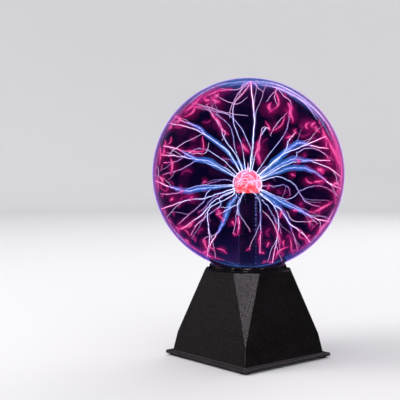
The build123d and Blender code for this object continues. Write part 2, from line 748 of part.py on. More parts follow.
tab_plane = Plane(origin=(heatsink_x, heatsink_face_y + tab_thickness, tab_screw_z), z_dir=(0, 1, 0))
with BuildPart() as heatsink_screw:
    with BuildSketch(tab_plane):
        Circle(screw_head_radius)
    extrude(amount=screw_head_height)
    fillet(heatsink_screw.edges().sort_by(Axis.Y)[-1], radius=0.8)
    with BuildSketch(tab_plane):
        Circle(pilot_radius)
    extrude(amount=-tab_thickness - heatsink_plate)
finish_piece(heatsink_screw, "heatsink_screw")

# ---------------------------------------------------------------- smaller board components
# Each can: its place on the board, radius and height.
reservoir_can = ((0.5, -29.0), 5.0, 15.0)
filter_can = ((6.0, -14.0), 4.0, 11.0)
with BuildPart() as electrolytic_capacitors:
    for place, can_radius, can_height in (reservoir_can, filter_can):
        with BuildSketch(Plane.XY.offset(board_top_z)):
            with Locations(place):
                Circle(can_radius)
        extrude(amount=can_height)
    can_tops = electrolytic_capacitors.edges().filter_by(lambda edge: edge.center().Z > board_top_z + 5)
    fillet(can_tops, radius=0.6)
finish_piece(electrolytic_capacitors, "electrolytic_capacitors")

film_capacitor_place = (-22.0, 2.0)
film_capacitor_length = 13.0
film_capacitor_width = 6.0
film_capacitor_height = 10.0
with BuildPart() as film_capacitor:
    with BuildSketch(Plane.XY.offset(board_top_z)):
        with Locations(film_capacitor_place):
            RectangleRounded(film_capacitor_length, film_capacitor_width, 0.8)
    extrude(amount=film_capacitor_height)
    chamfer(film_capacitor.faces().sort_by(Axis.Z)[-1].edges(), length=0.5)
finish_piece(film_capacitor, "film_capacitor")

choke_x = 24.0
choke_y = 7.0
choke_height = 9.0
choke_flange = 1.5
choke_flange_radius = 6.0
choke_hub_radius = 3.0
choke_winding_radius = 5.3
with BuildPart() as choke_core:
    for flange_z in (board_top_z, board_top_z + choke_height - choke_flange):
        with BuildSketch(Plane.XY.offset(flange_z)):
            with Locations((choke_x, choke_y)):
                Circle(choke_flange_radius)
        extrude(amount=choke_flange)
    with BuildSketch(Plane.XY.offset(board_top_z)):
        with Locations((choke_x, choke_y)):
            Circle(choke_hub_radius)
    extrude(amount=choke_height)
finish_piece(choke_core, "choke_core")

with BuildPart() as choke_winding:
    with BuildSketch(Plane.XY.offset(board_top_z + choke_flange)):
        with Locations((choke_x, choke_y)):
            Circle(choke_winding_radius)
            Circle(choke_hub_radius, mode=Mode.SUBTRACT)
    extrude(amount=choke_height - 2 * choke_flange)
finish_piece(choke_winding, "choke_winding")

# Axial resistors lie just above the board on legs bent down at both ends.
resistor_x = 5.0
resistor_z = board_top_z + 1.6
resistor_radius = 1.2
resistor_length = 6.4
resistor_leg_span = 10.0
leg_radius = 0.3
with BuildPart() as resistors:
    for resistor_y in (-3.0, 1.0, 5.0, 9.0):
        with BuildSketch(Plane(origin=(resistor_x, resistor_y, resistor_z), z_dir=(1, 0, 0))):
            Circle(resistor_radius)
        extrude(amount=resistor_length / 2, both=True)
        with BuildSketch(Plane(origin=(resistor_x, resistor_y, resistor_z), z_dir=(1, 0, 0))):
            Circle(leg_radius)
        extrude(amount=resistor_leg_span / 2, both=True)
        with BuildSketch(Plane.XY.offset(board_top_z)):
            with Locations((resistor_x, resistor_y)):
                with GridLocations(resistor_leg_span - 2 * leg_radius, 0, 2, 1):
                    Circle(leg_radius)
        extrude(amount=resistor_z - board_top_z)
finish_piece(resistors, "resistors")

chip_x = 22.0
chip_y = -7.0
chip_length = 9.8
chip_width = 6.4
chip_thickness = 3.2
chip_gap = 0.6
with BuildPart() as driver_chip:
    with BuildSketch(Plane.XY.offset(board_top_z + chip_gap)):
        with Locations((chip_x, chip_y)):
            Rectangle(chip_length, chip_width)
    extrude(amount=chip_thickness)
    chamfer(driver_chip.faces().sort_by(Axis.Z)[-1].edges(), length=0.4)
    with BuildSketch(Plane.XY.offset(board_top_z)):
        with Locations((chip_x, chip_y)):
            with GridLocations(pin_pitch, chip_width + 0.8, 4, 2):
                Rectangle(0.8, 0.8)
    extrude(amount=2.4)
finish_piece(driver_chip, "driver_chip")

connector_x = -20.0
connector_y = 14.0
connector_length = 9.0
connector_width = 6.0
connector_height = 7.0
connector_back_y = connector_y + connector_width / 2
connector_port_z = board_top_z + 4.0
port_offset = 2.0
with BuildPart() as power_connector:
    with BuildSketch(Plane.XY.offset(board_top_z)):
        with Locations((connector_x, connector_y)):
            Rectangle(connector_length, connector_width)
    extrude(amount=connector_height)
    chamfer(power_connector.faces().sort_by(Axis.Z)[-1].edges(), length=0.5)
finish_piece(power_connector, "power_connector")

# ================================================================ internal wiring
supply_wire_radius = 0.9
high_voltage_wire_radius = 1.4


def behind(plane, across, up, depth):
    """Point inside the base, measured from a plane on the back face."""
    point = plane.from_local_coords((across, up, -depth))
    return (point.X, point.Y, point.Z)


inlet_wire_depth = inlet_depth + inlet_blade_length
switch_wire_depth = switch_depth + switch_blade_length
wire(
    "supply_wire",
    [
        behind(inlet_plane, -2.2, 0, inlet_wire_depth),
        behind(inlet_plane, -2.2, 0, inlet_wire_depth + 5.0),
        (-18.0, 27.0, 23.0),
        (-10.0, 25.5, 27.0),
        (1.0, 25.0, 28.0),
        (13.0, 24.5, 27.5),
        (21.0, 24.0, 26.0),
        behind(switch_plane, 0, -4.0, switch_wire_depth + 5.0),
        behind(switch_plane, 0, -4.0, switch_wire_depth),
    ],
    supply_wire_radius,
)
wire(
    "switched_wire",
    [
        behind(switch_plane, 0, 4.0, switch_wire_depth),
        behind(switch_plane, 0, 4.0, switch_wire_depth + 6.0),
        (20.5, 19.5, 34.0),
        (12.5, 16.5, 32.0),
        (3.0, 16.5, 28.5),
        (-5.0, 19.0, 23.5),
        (-10.0, 23.0, 20.5),
        (-14.5, 24.8, 19.0),
        (connector_x + port_offset, connector_back_y + 6.0, connector_port_z),
        (connector_x + port_offset, connector_back_y, connector_port_z),
    ],
    supply_wire_radius,
)
wire(
    "return_wire",
    [
        behind(inlet_plane, 2.2, 0, inlet_wire_depth),
        behind(inlet_plane, 2.2, 0, inlet_wire_depth + 5.0),
        (connector_x - port_offset, connector_back_y + 6.0, connector_port_z),
        (connector_x - port_offset, connector_back_y, connector_port_z),
    ],
    supply_wire_radius,
)

# The high-voltage lead leaves the coil towards the axis and climbs into the rod's terminal.
axis_distance = hypot(coil_x, transformer_y)
lead_run = axis_distance - coil_radius


def towards_axis(distance, z):
    """Point on the line from the coil to the axis, at a distance from the axis."""
    return (coil_x * distance / axis_distance, transformer_y * distance / axis_distance, z)


coil_middle_z = coil_bottom_z + coil_height / 2
wire(
    "high_voltage_wire",
    [
        towards_axis(lead_run - 0.2, coil_middle_z),
        towards_axis(8.5, coil_middle_z + 1.5),
        (0, 0, coil_middle_z + 9.5),
        (0, 0, rod_bottom_z),
    ],
    high_voltage_wire_radius,
)
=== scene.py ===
"""Plasma ball: materials, the discharge in the globe, and the studio.

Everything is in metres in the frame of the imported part: +Z up, the origin under the middle of
the base. The base's front corner points along (+X, -Y), towards the camera.
"""

import json
import math
import random

import bmesh
import bpy
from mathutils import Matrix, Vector, noise


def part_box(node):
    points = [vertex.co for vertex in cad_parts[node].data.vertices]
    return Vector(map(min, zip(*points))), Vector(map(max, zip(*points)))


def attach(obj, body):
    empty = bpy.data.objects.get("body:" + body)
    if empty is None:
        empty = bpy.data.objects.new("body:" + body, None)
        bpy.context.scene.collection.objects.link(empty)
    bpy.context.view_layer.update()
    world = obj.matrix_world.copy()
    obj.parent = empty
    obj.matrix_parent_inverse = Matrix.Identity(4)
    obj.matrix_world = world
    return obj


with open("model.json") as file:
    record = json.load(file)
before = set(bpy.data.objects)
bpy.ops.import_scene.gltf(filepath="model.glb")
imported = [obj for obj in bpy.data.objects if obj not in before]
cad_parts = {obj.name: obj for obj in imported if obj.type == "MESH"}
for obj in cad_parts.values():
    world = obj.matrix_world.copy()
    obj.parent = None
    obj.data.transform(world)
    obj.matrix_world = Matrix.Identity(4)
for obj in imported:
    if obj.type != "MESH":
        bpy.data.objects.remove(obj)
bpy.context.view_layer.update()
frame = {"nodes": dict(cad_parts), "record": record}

MM = 0.001
ROOT = "base"

# -------------------- places taken from the frame
globe_low, globe_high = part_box("globe_glass")
ball_low, ball_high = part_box("electrode_filling")
stem_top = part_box("stem_glass")[1][2]
liner_low, liner_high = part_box("stem_liner")
liner_radius = (liner_high[0] - liner_low[0]) / 2
globe_radius = (globe_high[0] - globe_low[0]) / 2
globe_centre = Vector((0, 0, globe_high[2] - globe_radius))
wall_thickness = 1.5 * MM
gas_radius = globe_radius - wall_thickness - 0.35 * MM
reach_radius = gas_radius - 0.4 * MM
electrode_radius = (stem_top - ball_high[2]) + (ball_high[0] - ball_low[0]) / 2
electrode_centre = Vector((0, 0, stem_top - electrode_radius))
stem_clear_radius = 15.2 * MM
liner_glint_pitch = 3.6 * MM

# The viewer stands off the base's front corner. Discharge directions are given as seen from
# there: a clock angle in degrees (0 up, 90 to the viewer's right) and how far towards the rim.
towards_viewer = Vector((1, -1, 0)).normalized()
viewers_right = Vector((1, 1, 0)).normalized()
upwards = Vector((0, 0, 1))


def seen_across(clock):
    """Unit vector square to the line of sight, at a clock angle."""
    angle = math.radians(clock)
    return viewers_right * math.sin(angle) + upwards * math.cos(angle)


def seen_direction(clock, reach, near):
    """Unit vector from the globe's centre, from how it looks to the viewer."""
    depth = math.sqrt(max(0.0, 1 - reach * reach))
    return seen_across(clock) * reach + towards_viewer * (depth if near else -depth)


def seen_place(clock, reach, depth):
    """Point in the globe, from how it looks to the viewer; depth runs from -1, far, to 1, near."""
    reach = min(0.998, reach * globe_radius / reach_radius)
    room = math.sqrt(max(0.0, 1 - reach * reach))
    return globe_centre + (seen_across(clock) * reach + towards_viewer * room * depth) * reach_radius


# -------------------- camera and studio
def add_object(name, data):
    """Puts a camera, a light or a mesh into the scene."""
    made = bpy.data.objects.new(name, data)
    bpy.context.scene.collection.objects.link(made)
    return made


def add_mesh(name, work, material):
    """Puts a finished bmesh into the scene, with one material."""
    mesh = bpy.data.meshes.new(name)
    work.to_mesh(mesh)
    work.free()
    mesh.materials.append(material)
    return add_object(name, mesh)


def make_camera():
    """A long lens a little to the right of the front corner, just above the globe's middle."""
    distance, azimuth, height = 0.9259, math.radians(46.66), 0.2082
    turn_left, tilt_down = math.radians(3.11), math.radians(2.69)
    data = bpy.data.cameras.new("camera")
    data.lens = 79.5
    data.sensor_width = 36
    data.clip_start = 0.01
    data.clip_end = 50
    camera = add_object("camera", data)
    camera.location = (distance * math.sin(azimuth), -distance * math.cos(azimuth), height)
    camera.rotation_euler = (math.pi / 2 - tilt_down, 0, azimuth + turn_left)
    bpy.context.scene.camera = camera


def make_floor():
    """A round pale floor that curves up at its edge."""
    floor_radius, curve_radius, wall_height, turns, steps = 2.6, 0.9, 1.6, 96, 12
    profile = [(0.0, 0.0), (0.6, 0.0), (floor_radius, 0.0)]
    for step in range(1, steps + 1):
        bend = math.radians(90 * step / steps)
        out, up = curve_radius * math.sin(bend), curve_radius * (1 - math.cos(bend))
        profile.append((floor_radius + out, up))
    profile.append((floor_radius + curve_radius, wall_height))
    work = bmesh.new()
    rings = []
    for radius, z in profile:
        if radius == 0:
            rings.append([work.verts.new((0, 0, z))] * turns)
            continue
        ring = []
        for turn in range(turns):
            angle = 2 * math.pi * turn / turns
            ring.append(work.verts.new((radius * math.cos(angle), radius * math.sin(angle), z)))
        rings.append(ring)
    for inner, outer in zip(rings, rings[1:]):
        for turn in range(turns):
            following = (turn + 1) % turns
            corners = [inner[turn], outer[turn], outer[following], inner[following]]
            if corners[0] is corners[3]:
                corners.pop()
            work.faces.new(corners).smooth = True
    look = Look("studio_floor")
    look.shade({"Base Color": (0.80, 0.79, 0.80, 1), "Roughness": 0.75})
    floor = add_mesh("studio_floor", work, look.owner)
    floor.visible_glossy = False
    floor.visible_transmission = False


def lit_group(name, nodes):
    """A collection of CAD nodes, for a light that is limited to them."""
    group = bpy.data.collections.new(name)
    for node in nodes:
        group.objects.link(frame["nodes"][node])
    return group


def area_light(name, location, aim_height, size, power, colour, parts=None):
    """A soft box aimed at a height on the object's axis.

    With a collection of parts it lights only those, and they reflect it. Without, it lights
    everything and no reflection shows it.
    """
    data = bpy.data.lights.new(name, "AREA")
    data.shape = "RECTANGLE"
    data.size, data.size_y = size
    data.energy = power
    data.color = colour
    light = add_object(name, data)
    light.location = location
    aim = Vector((0, 0, aim_height)) - Vector(location)
    light.rotation_euler = aim.to_track_quat("-Z", "Y").to_euler()
    light.visible_glossy = parts is not None
    light.visible_transmission = parts is not None
    if parts:
        light.light_linking.receiver_collection = parts


def make_lights():
    """Three soft boxes for the whole scene, and sheens that pick out the dark base's faces."""
    opaque_nodes = []
    for entry in frame["record"]["subparts"]:
        if entry["material_slot"] not in ("globe_glass", "stem_glass"):
            opaque_nodes.append(entry["node"])
    opaque = lit_group("opaque_parts", opaque_nodes)
    rear_nodes = ("switch_body", "switch_rocker", "dc_jack", "dc_jack_pin", "dc_jack_nut")
    rear = lit_group("rear_parts", rear_nodes)
    warm = (1, 0.88, 0.95)
    for light in (
        ("key", (-0.9, -1.5, 1.7), 0.10, (1.2, 1.2), 30, (1, 0.98, 0.96)),
        ("fill", (1.7, -0.5, 0.9), 0.12, (1.4, 1.4), 5, (0.95, 0.96, 1)),
        ("back", (-0.4, 1.8, 1.5), 0.15, (1.4, 1.0), 16, (1, 1, 1)),
        ("facet_sheen", (0.80, -0.84, 0.98), 0.06, (0.5, 0.4), 9.5, warm, opaque),
        ("side_sheen", (-1.3, -1.1, 0.30), 0.05, (0.9, 0.5), 1.5, warm, opaque),
        ("left_edge_sheen", (0, -1.5, 0.80), 0.05, (0.2, 0.35), 2.2, warm, opaque),
        ("right_edge_sheen", (1.5, 0, 0.80), 0.05, (0.2, 0.35), 1.6, warm, opaque),
        ("corner_sheen", (1.0, -1.0, 0.33), 0.03, (0.2, 0.12), 1.2, warm, opaque),
        ("rear_sheen", (0.1, 1.3, 0.9), 0.05, (0.9, 0.5), 5, warm, opaque),
        ("rear_detail_sheen", (0.8, 1.3, 0.6), 0.05, (0.9, 0.6), 6, warm, rear),
    ):
        area_light(*light)


def make_reflection_dome():
    """A dim coloured dome that only the globe reflects: its colours show along the glass's edge."""
    look = Look("reflection_dome")
    by_height = look.ramp(look.place("Z", "Generated"), [
        (0.27, 0.20, 0.36, 1.0), (0.36, 1.0, 0.62, 1.0), (0.66, 1.0, 0.80, 1.0), (0.75, 0.26, 0.85, 1.0),
    ])
    by_side = look.ramp(look.place("X", "Generated"), [
        (0.27, 0.55, 0.38, 1.0), (0.52, 0.55, 0.48, 1.0), (0.64, 0.75, 0.50, 1.0), (0.74, 1.0, 0.30, 0.80),
    ])
    # dim on the viewer's side, so that the front of the globe stays clear
    by_depth = look.ramp(look.place("Y", "Generated"), [(0.76, 0.26, 0.26, 0.26), (0.88, 1, 1, 1)])
    colour = look.mix(1.0, look.mix(1.0, by_height, by_side, "MULTIPLY"), by_depth, "MULTIPLY")
    look.shade({"Base Color": BLACK, "Specular IOR Level": 0.0})
    look.shade({"Emission Color": colour, "Emission Strength": 2.0})
    work = bmesh.new()
    bmesh.ops.create_uvsphere(work, u_segments=48, v_segments=24, radius=5.0)
    dome = add_mesh("reflection_dome", work, look.owner)
    dome.rotation_euler.z = math.pi / 4
    for visibility in ("camera", "diffuse", "transmission", "volume_scatter", "shadow"):
        setattr(dome, f"visible_{visibility}", False)
    dome.light_linking.receiver_collection = lit_group("globe_only", ["globe_glass"])


def make_world():
    """A pale surround. The glass and the glossy plastics see a darker one, as in a dim room."""
    look = Look("pale_surround", "worlds")
    bpy.context.scene.world = look.owner
    pale = look.nodes["Background"]
    look.feed(pale, {"Color": (0.86, 0.87, 0.90, 1), "Strength": 0.90})
    surround = pale.outputs["Background"]
    # light that the glass bends counts as glossy too, so its own surround is laid over that one
    for seen_by, colour, strength in (
        ("Is Glossy Ray", (0.86, 0.82, 0.90, 1), 0.12),
        ("Is Transmission Ray", (0.10, 0.04, 0.30, 1), 0.05),
    ):
        other = look.add("Background", "Background", {"Color": colour, "Strength": strength})
        ray = look.add("LightPath", seen_by)
        surround = look.add("MixShader", "Shader", {"Fac": ray, 1: surround, 2: other})
    look.feed(look.nodes["World Output"], {"Surface": surround})


# -------------------- materials
BLACK = (0, 0, 0, 1)
MATT_BLACK = {"Base Color": BLACK, "Roughness": 1.0, "Specular IOR Level": 0.0}


class Look:
    """The node tree of a material or a world, with short ways to build it."""

    def __init__(self, name, library="materials"):
        self.owner = getattr(bpy.data, library).new(name)
        self.owner.use_nodes = True
        self.nodes = self.owner.node_tree.nodes
        self.links = self.owner.node_tree.links

    def feed(self, node, inputs):
        """Sets a node's inputs: an output of another node is linked, and the rest are values."""
        for name, value in dict(inputs).items():
            if isinstance(value, bpy.types.NodeSocket):
                self.links.new(value, node.inputs[name])
            else:
                node.inputs[name].default_value = value

    def add(self, kind, output, inputs=(), **settings):
        """Adds a node and gives back one of its outputs."""
        node = self.nodes.new("ShaderNode" + kind)
        for name, value in settings.items():
            setattr(node, name, value)
        self.feed(node, inputs)
        return node.outputs[output]

    def shade(self, inputs):
        self.feed(self.nodes["Principled BSDF"], inputs)

    def glow(self, colour, strength):
        """Gives off light. The soft boxes light the scene, so it isn't sampled as a lamp."""
        self.shade({"Emission Color": colour, "Emission Strength": strength})
        self.owner.cycles.emission_sampling = "NONE"

    def absorb(self, colour, density):
        """Tints the light that passes through the solid."""
        volume = self.add("VolumeAbsorption", "Volume", {"Color": (*colour, 1), "Density": density})
        self.feed(self.nodes["Material Output"], {"Volume": volume})

    def bump(self, height, depth):
        normal = self.add("Bump", "Normal", {"Strength": 1.0, "Distance": depth, "Height": height})
        self.shade({"Normal": normal})

    def place(self, axis, space="Object"):
        """One coordinate of the point that is shaded."""
        return self.add("SeparateXYZ", axis, {"Vector": self.add("TexCoord", space)})

    def texture(self, scale, detail=4.0, roughness=0.55, output="Fac", place=None):
        """Noise in the part's own space; scale is in cycles per metre."""
        place = place or self.add("TexCoord", "Object")
        inputs = {"Vector": place, "Scale": scale, "Detail": detail, "Roughness": roughness}
        return self.add("TexNoise", output, inputs)

    def spread(self, source, low, high, from_low=0.3, from_high=0.7):
        """Maps one range of values to another. The first is a texture's middle unless given."""
        ends = {"From Min": from_low, "From Max": from_high, "To Min": low, "To Max": high}
        return self.add("MapRange", "Result", {"Value": source, **ends})

    def ramp(self, source, stops):
        """Colours from a value, by stops of (position, red, green, blue)."""
        node = self.nodes.new("ShaderNodeValToRGB")
        elements = node.color_ramp.elements
        while len(elements) < len(stops):
            elements.new(0.5)
        for element, (position, *colour) in zip(elements, stops):
            element.position = position
            element.color = (*colour, 1)
        self.feed(node, {"Fac": source})
        return node.outputs["Color"]

    def mix(self, factor, first, second, blend="MIX"):
        """Blends two colours."""
        inputs = {"Factor": factor, "A": first, "B": second}
        return self.add("Mix", "Result", inputs, data_type="RGBA", blend_type=blend)

    def maths(self, operation, *values):
        return self.add("Math", "Value", enumerate(values), operation=operation)

    def near_an_edge(self, radius):
        """1 on the part's outer edges, 0 away from them."""
        rounded = self.add("Bevel", "Normal", {"Radius": radius}, samples=8)
        flat = self.add("NewGeometry", "True Normal")
        agreement = self.add("VectorMath", "Value", {0: rounded, 1: flat}, operation="DOT_PRODUCT")
        return self.spread(agreement, 1.0, 0.0, 0.93, 0.99)

    def distance_from_globe(self):
        """0 at the globe's centre, 1 at the gas's edge."""
        place = self.add("TexCoord", "Object")
        offset = self.add("VectorMath", "Vector", {0: place, 1: globe_centre}, operation="SUBTRACT")
        length = self.add("VectorMath", "Value", {0: offset}, operation="LENGTH")
        return self.maths("DIVIDE", length, gas_radius)


def moulded(name, dark, light, roughness, grain, depth, metallic=0.0, speckle=0.0, painted_edge_highlight=None):
    """A moulded, sprayed or plated surface: colour clouds, uneven gloss and a fine grain.

    roughness is a range, grain is in cycles per metre and depth in mm.
    """
    look = Look(name)
    clouds = look.texture(60.0)
    fine = look.texture(grain, detail=2.0)
    colour = look.ramp(clouds, [(0.3, *dark), (0.7, *light)])
    # a paler colour along the edges is a painted highlight, where the edges catch the light
    if painted_edge_highlight:
        colour = look.mix(look.near_an_edge(0.5 * MM), colour, (*painted_edge_highlight, 1))
    if speckle:
        look.shade({"Specular IOR Level": look.spread(fine, 0.5 - speckle, 0.5 + speckle)})
    gloss = look.maths("ADD", look.spread(clouds, *roughness), look.spread(fine, -0.06, 0.06))
    look.shade({"Base Color": colour, "Roughness": gloss, "Metallic": metallic})
    look.bump(fine, depth * MM)
    return look.owner


# Moulded looks by slot: darker and lighter colour, range of roughness, grain in cycles per metre,
# and the depth of the grain in mm.
MOULDED = {
    "silicone": ((0.62, 0.6, 0.56), (0.74, 0.72, 0.68), (0.5, 0.6), 900, 0.03),
    # the bottom plate: the base's black plastic made paler, as painted light on the flange
    "plate_plastic_painted_light": ((0.018, 0.016, 0.018), (0.028, 0.025, 0.028), (0.4, 0.5), 950, 0.12),
    "collar_plastic": ((0.004, 0.004, 0.005), (0.007, 0.007, 0.008), (0.07, 0.14), 500, 0.004),
    "black_rubber": ((0.010, 0.010, 0.010), (0.02, 0.02, 0.02), (0.65, 0.8), 1400, 0.05),
    "switch_plastic": ((0.009, 0.009, 0.010), (0.015, 0.015, 0.016), (0.35, 0.45), 2300, 0.03),
    "rocker_plastic": ((0.008, 0.008, 0.009), (0.013, 0.013, 0.014), (0.16, 0.26), 1500, 0.015),
    "inlet_plastic": ((0.008, 0.008, 0.009), (0.014, 0.014, 0.015), (0.25, 0.35), 1900, 0.02),
    "ferrite": ((0.035, 0.035, 0.04), (0.07, 0.07, 0.075), (0.45, 0.6), 1600, 0.03),
    "bobbin_plastic": ((0.02, 0.02, 0.02), (0.04, 0.04, 0.04), (0.4, 0.5), 1600, 0.03),
    "coil_tape": ((0.72, 0.5, 0.03), (0.85, 0.65, 0.08), (0.2, 0.3), 400, 0.05),
    "component_black": ((0.012, 0.012, 0.012), (0.03, 0.03, 0.03), (0.5, 0.65), 2000, 0.03),
    "capacitor_sleeve": ((0.01, 0.02, 0.09), (0.03, 0.05, 0.2), (0.2, 0.3), 700, 0.02),
    "film_capacitor": ((0.35, 0.03, 0.015), (0.5, 0.07, 0.03), (0.2, 0.3), 500, 0.03),
    "resistor_coating": ((0.6, 0.45, 0.25), (0.72, 0.58, 0.36), (0.25, 0.35), 800, 0.02),
    "connector_nylon": ((0.75, 0.73, 0.66), (0.85, 0.83, 0.78), (0.4, 0.5), 1500, 0.02),
    "red_wire": ((0.4, 0.012, 0.012), (0.55, 0.02, 0.02), (0.35, 0.45), 900, 0.02),
    "black_wire": ((0.01, 0.01, 0.01), (0.02, 0.02, 0.02), (0.35, 0.45), 900, 0.02),
    "white_wire": ((0.7, 0.7, 0.67), (0.8, 0.8, 0.78), (0.4, 0.5), 900, 0.02),
}
METALS = {
    "bright_steel": ((0.45, 0.45, 0.47), (0.62, 0.62, 0.64), (0.22, 0.36), 1800, 0.01),
    "brass": ((0.62, 0.43, 0.16), (0.78, 0.58, 0.26), (0.2, 0.35), 1500, 0.01),
    "aluminium": ((0.62, 0.63, 0.65), (0.75, 0.76, 0.78), (0.28, 0.4), 1200, 0.02),
    "copper_wire": ((0.55, 0.2, 0.07), (0.72, 0.33, 0.14), (0.2, 0.3), 1400, 0.08),
}


def base_plastic():
    """Black plastic with a fine speckled grain, and a highlight painted along its edges."""
    dark, light, painted_edge_highlight = (0.0030, 0.0026, 0.0030), (0.0048, 0.0042, 0.0048), (0.15, 0.14, 0.15)
    return moulded("base_plastic", dark, light, (0.36, 0.44), 800, 0.45, speckle=0.35, painted_edge_highlight=painted_edge_highlight)


def clear_glass(name, ior, tint, density):
    look = Look(name)
    look.shade({"Base Color": (1, 1, 1, 1), "Roughness": 0.0, "IOR": ior, "Transmission Weight": 1.0})
    look.absorb(tint, density)
    return look.owner


def steel_wool():
    """Tangled steel wool with a painted coral-red glow that stands in for the discharge's light on it, with
    paler hot spots.
    """
    look = Look("steel_wool")
    strands = look.texture(900.0, detail=6.0, roughness=0.7)
    tangle = look.maths("MULTIPLY_ADD", strands, 0.35, look.texture(260.0, detail=3.0))
    coral = look.ramp(tangle, [
        (0.42, 0.35, 0.010, 0.03), (0.58, 0.85, 0.055, 0.06), (0.72, 1.0, 0.15, 0.14),
        (0.90, 1.0, 0.50, 0.52),
    ])
    # the painted glow turns pinker towards the top of the bulb
    paler = look.spread(look.place("Z"), 0.0, 0.6, electrode_centre.z - 2 * MM, ball_high[2])
    look.glow(look.mix(paler, coral, (0.9, 0.16, 0.26, 1)), 5.0)
    look.shade({"Base Color": (0.12, 0.05, 0.05, 1), "Metallic": 0.6, "Roughness": 0.5})
    look.bump(strands, 0.6 * MM)
    return look.owner


def liner_plastic():
    """Black ribbed plastic, with blue glints painted on its rib crests along three lines, most near the
    electrode.
    """
    look = Look("liner_plastic")
    x, y, z = look.place("X"), look.place("Y"), look.place("Z")
    flat = look.add("CombineXYZ", "Vector", {"X": x, "Y": y})
    radius = look.add("VectorMath", "Value", {0: flat}, operation="LENGTH")
    turn = look.maths("ARCTAN2", y, x)
    lines = look.maths("COSINE", look.maths("MULTIPLY_ADD", turn, 3.0, -math.pi / 6))
    ribs = look.maths("PINGPONG", z, liner_glint_pitch / 2)
    painted_glint = look.spread(radius, 0.0, 1.0, liner_radius - 0.3 * MM, liner_radius - 0.02 * MM)
    for factor in (
        look.spread(z, 0.1, 1.0, globe_centre.z - 0.7 * gas_radius, ball_low[2]),
        look.spread(lines, 0.0, 1.0, 0.90, 0.995),
        look.spread(ribs, 0.0, 1.0, 0.25 * liner_glint_pitch, 0.35 * liner_glint_pitch),
    ):
        painted_glint = look.maths("MULTIPLY", painted_glint, factor)
    # the painted glints: blue light given off by the rib crests
    look.glow(look.ramp(painted_glint, [(0.0, 0, 0, 0), (1.0, 0.28, 0.36, 1.0)]), 7.0)
    look.shade({"Base Color": (0.003, 0.003, 0.004, 1), "Roughness": 0.32})
    return look.owner


def gas():
    """The gas against the glass: a glow, blue over both poles, with crimson wisps, behind a black part-clear
    skin and a violet tint that are painted shade darkening the globe's inside.
    """
    look = Look("gas_glow_and_painted_shade")
    bottom, top = globe_centre.z - gas_radius, globe_centre.z + gas_radius
    ground = look.ramp(look.spread(look.place("Z"), 0.0, 1.0, bottom, top), [
        (0.00, 0.04, 0.06, 0.26), (0.06, 0.015, 0.012, 0.08), (0.22, 0.004, 0.002, 0.022),
        (0.84, 0.004, 0.002, 0.022), (0.94, 0.035, 0.004, 0.06), (0.995, 0.02, 0.05, 0.24),
    ])
    bent = {"Factor": 0.12, "A": look.add("TexCoord", "Object"), "B": look.texture(14.0, 3.0, output="Color")}
    place = look.add("Mix", "Result", bent, data_type="VECTOR")
    wisps = look.ramp(look.texture(26.0, 2.0, 0.5, place=place), [
        (0.50, 0, 0, 0), (0.66, 0.035, 0.002, 0.022), (0.80, 0.20, 0.010, 0.06),
    ])
    look.glow(look.mix(1.0, ground, wisps, "ADD"), 1.0)
    # painted shade: a black skin that hides part of what lies behind it, and a violet tint in the gas, darken
    # the globe's inside
    look.shade({**MATT_BLACK, "Alpha": 0.45})
    look.absorb((0.30, 0.20, 0.50), 11.0)
    return look.owner


def circuit_board():
    """Green solder mask over a faint pattern of tracks."""
    look = Look("circuit_board")
    inputs = {"Vector": look.add("TexCoord", "Object"), "Scale": 240.0}
    tracks = look.add("TexVoronoi", "Distance", inputs, distance="MANHATTAN")
    colour = look.ramp(tracks, [(0.3, 0.012, 0.11, 0.035), (0.42, 0.02, 0.2, 0.06)])
    look.shade({"Base Color": colour, "Roughness": 0.3})
    look.bump(tracks, 0.03 * MM)
    return look.owner


def glowing(name, strength, alpha, flicker, stops):
    """Light given off by the gas, coloured by how far out it is."""
    look = Look(name)
    colour = look.ramp(look.distance_from_globe(), stops)
    if flicker:
        shade = look.ramp(look.texture(160.0, detail=2.0), [(0.35, 0.25, 0.2, 0.3), (0.65, 1, 1, 1)])
        colour = look.mix(flicker, colour, shade, "MULTIPLY")
    look.shade({**MATT_BLACK, "Alpha": alpha})
    look.glow(colour, strength)
    return look.owner


def dress_cad():
    """Gives each CAD node the look of its slot. The bottom plate gets a paler copy of the black plastic,
    which paints light onto it.
    """
    looks = {
        "globe_glass": clear_glass("globe_glass", 1.09, (0.62, 0.50, 1.0), 20.0),
        "stem_glass": clear_glass("stem_glass", 1.42, (0.9, 0.9, 1.0), 10.0),
        "steel_wool": steel_wool(),
        "liner_plastic": liner_plastic(),
        "base_plastic": base_plastic(),
        "circuit_board": circuit_board(),
    }
    for slot, values in MOULDED.items():
        looks[slot] = moulded(slot, *values)
    for slot, values in METALS.items():
        looks[slot] = moulded(slot, *values, metallic=1.0)
    for entry in frame["record"]["subparts"]:
        materials = frame["nodes"][entry["node"]].data.materials
        materials.clear()
        plate = entry["node"] == "bottom_plate"
        materials.append(looks["plate_plastic_painted_light" if plate else entry["material_slot"]])


# -------------------- marks on the rocker
MARK_SPACING = 3.6
MARK_THICKNESS = 0.03 * MM


def painted_mark(name, outline, hole, surface, material):
    """A thin painted mark: an outline in mm across and up the rocker, laid on its surface."""
    work = bmesh.new()
    loops = []
    for shape in (outline, hole):
        for offset in (MARK_THICKNESS, -MARK_THICKNESS):
            loops.append([work.verts.new(surface(across, up, offset)) for across, up in shape])
    outer_top, outer_base, inner_top, inner_base = loops
    for corner in range(len(outline)):
        after = (corner + 1) % len(outline)
        for first, second in (
            (outer_top, inner_top), (inner_top, inner_base),
            (inner_base, outer_base), (outer_base, outer_top),
        ):
            work.faces.new((first[corner], first[after], second[after], second[corner]))
    bmesh.ops.recalc_face_normals(work, faces=work.faces)
    piece = add_mesh(name, work, material)
    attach(piece, "rocker")


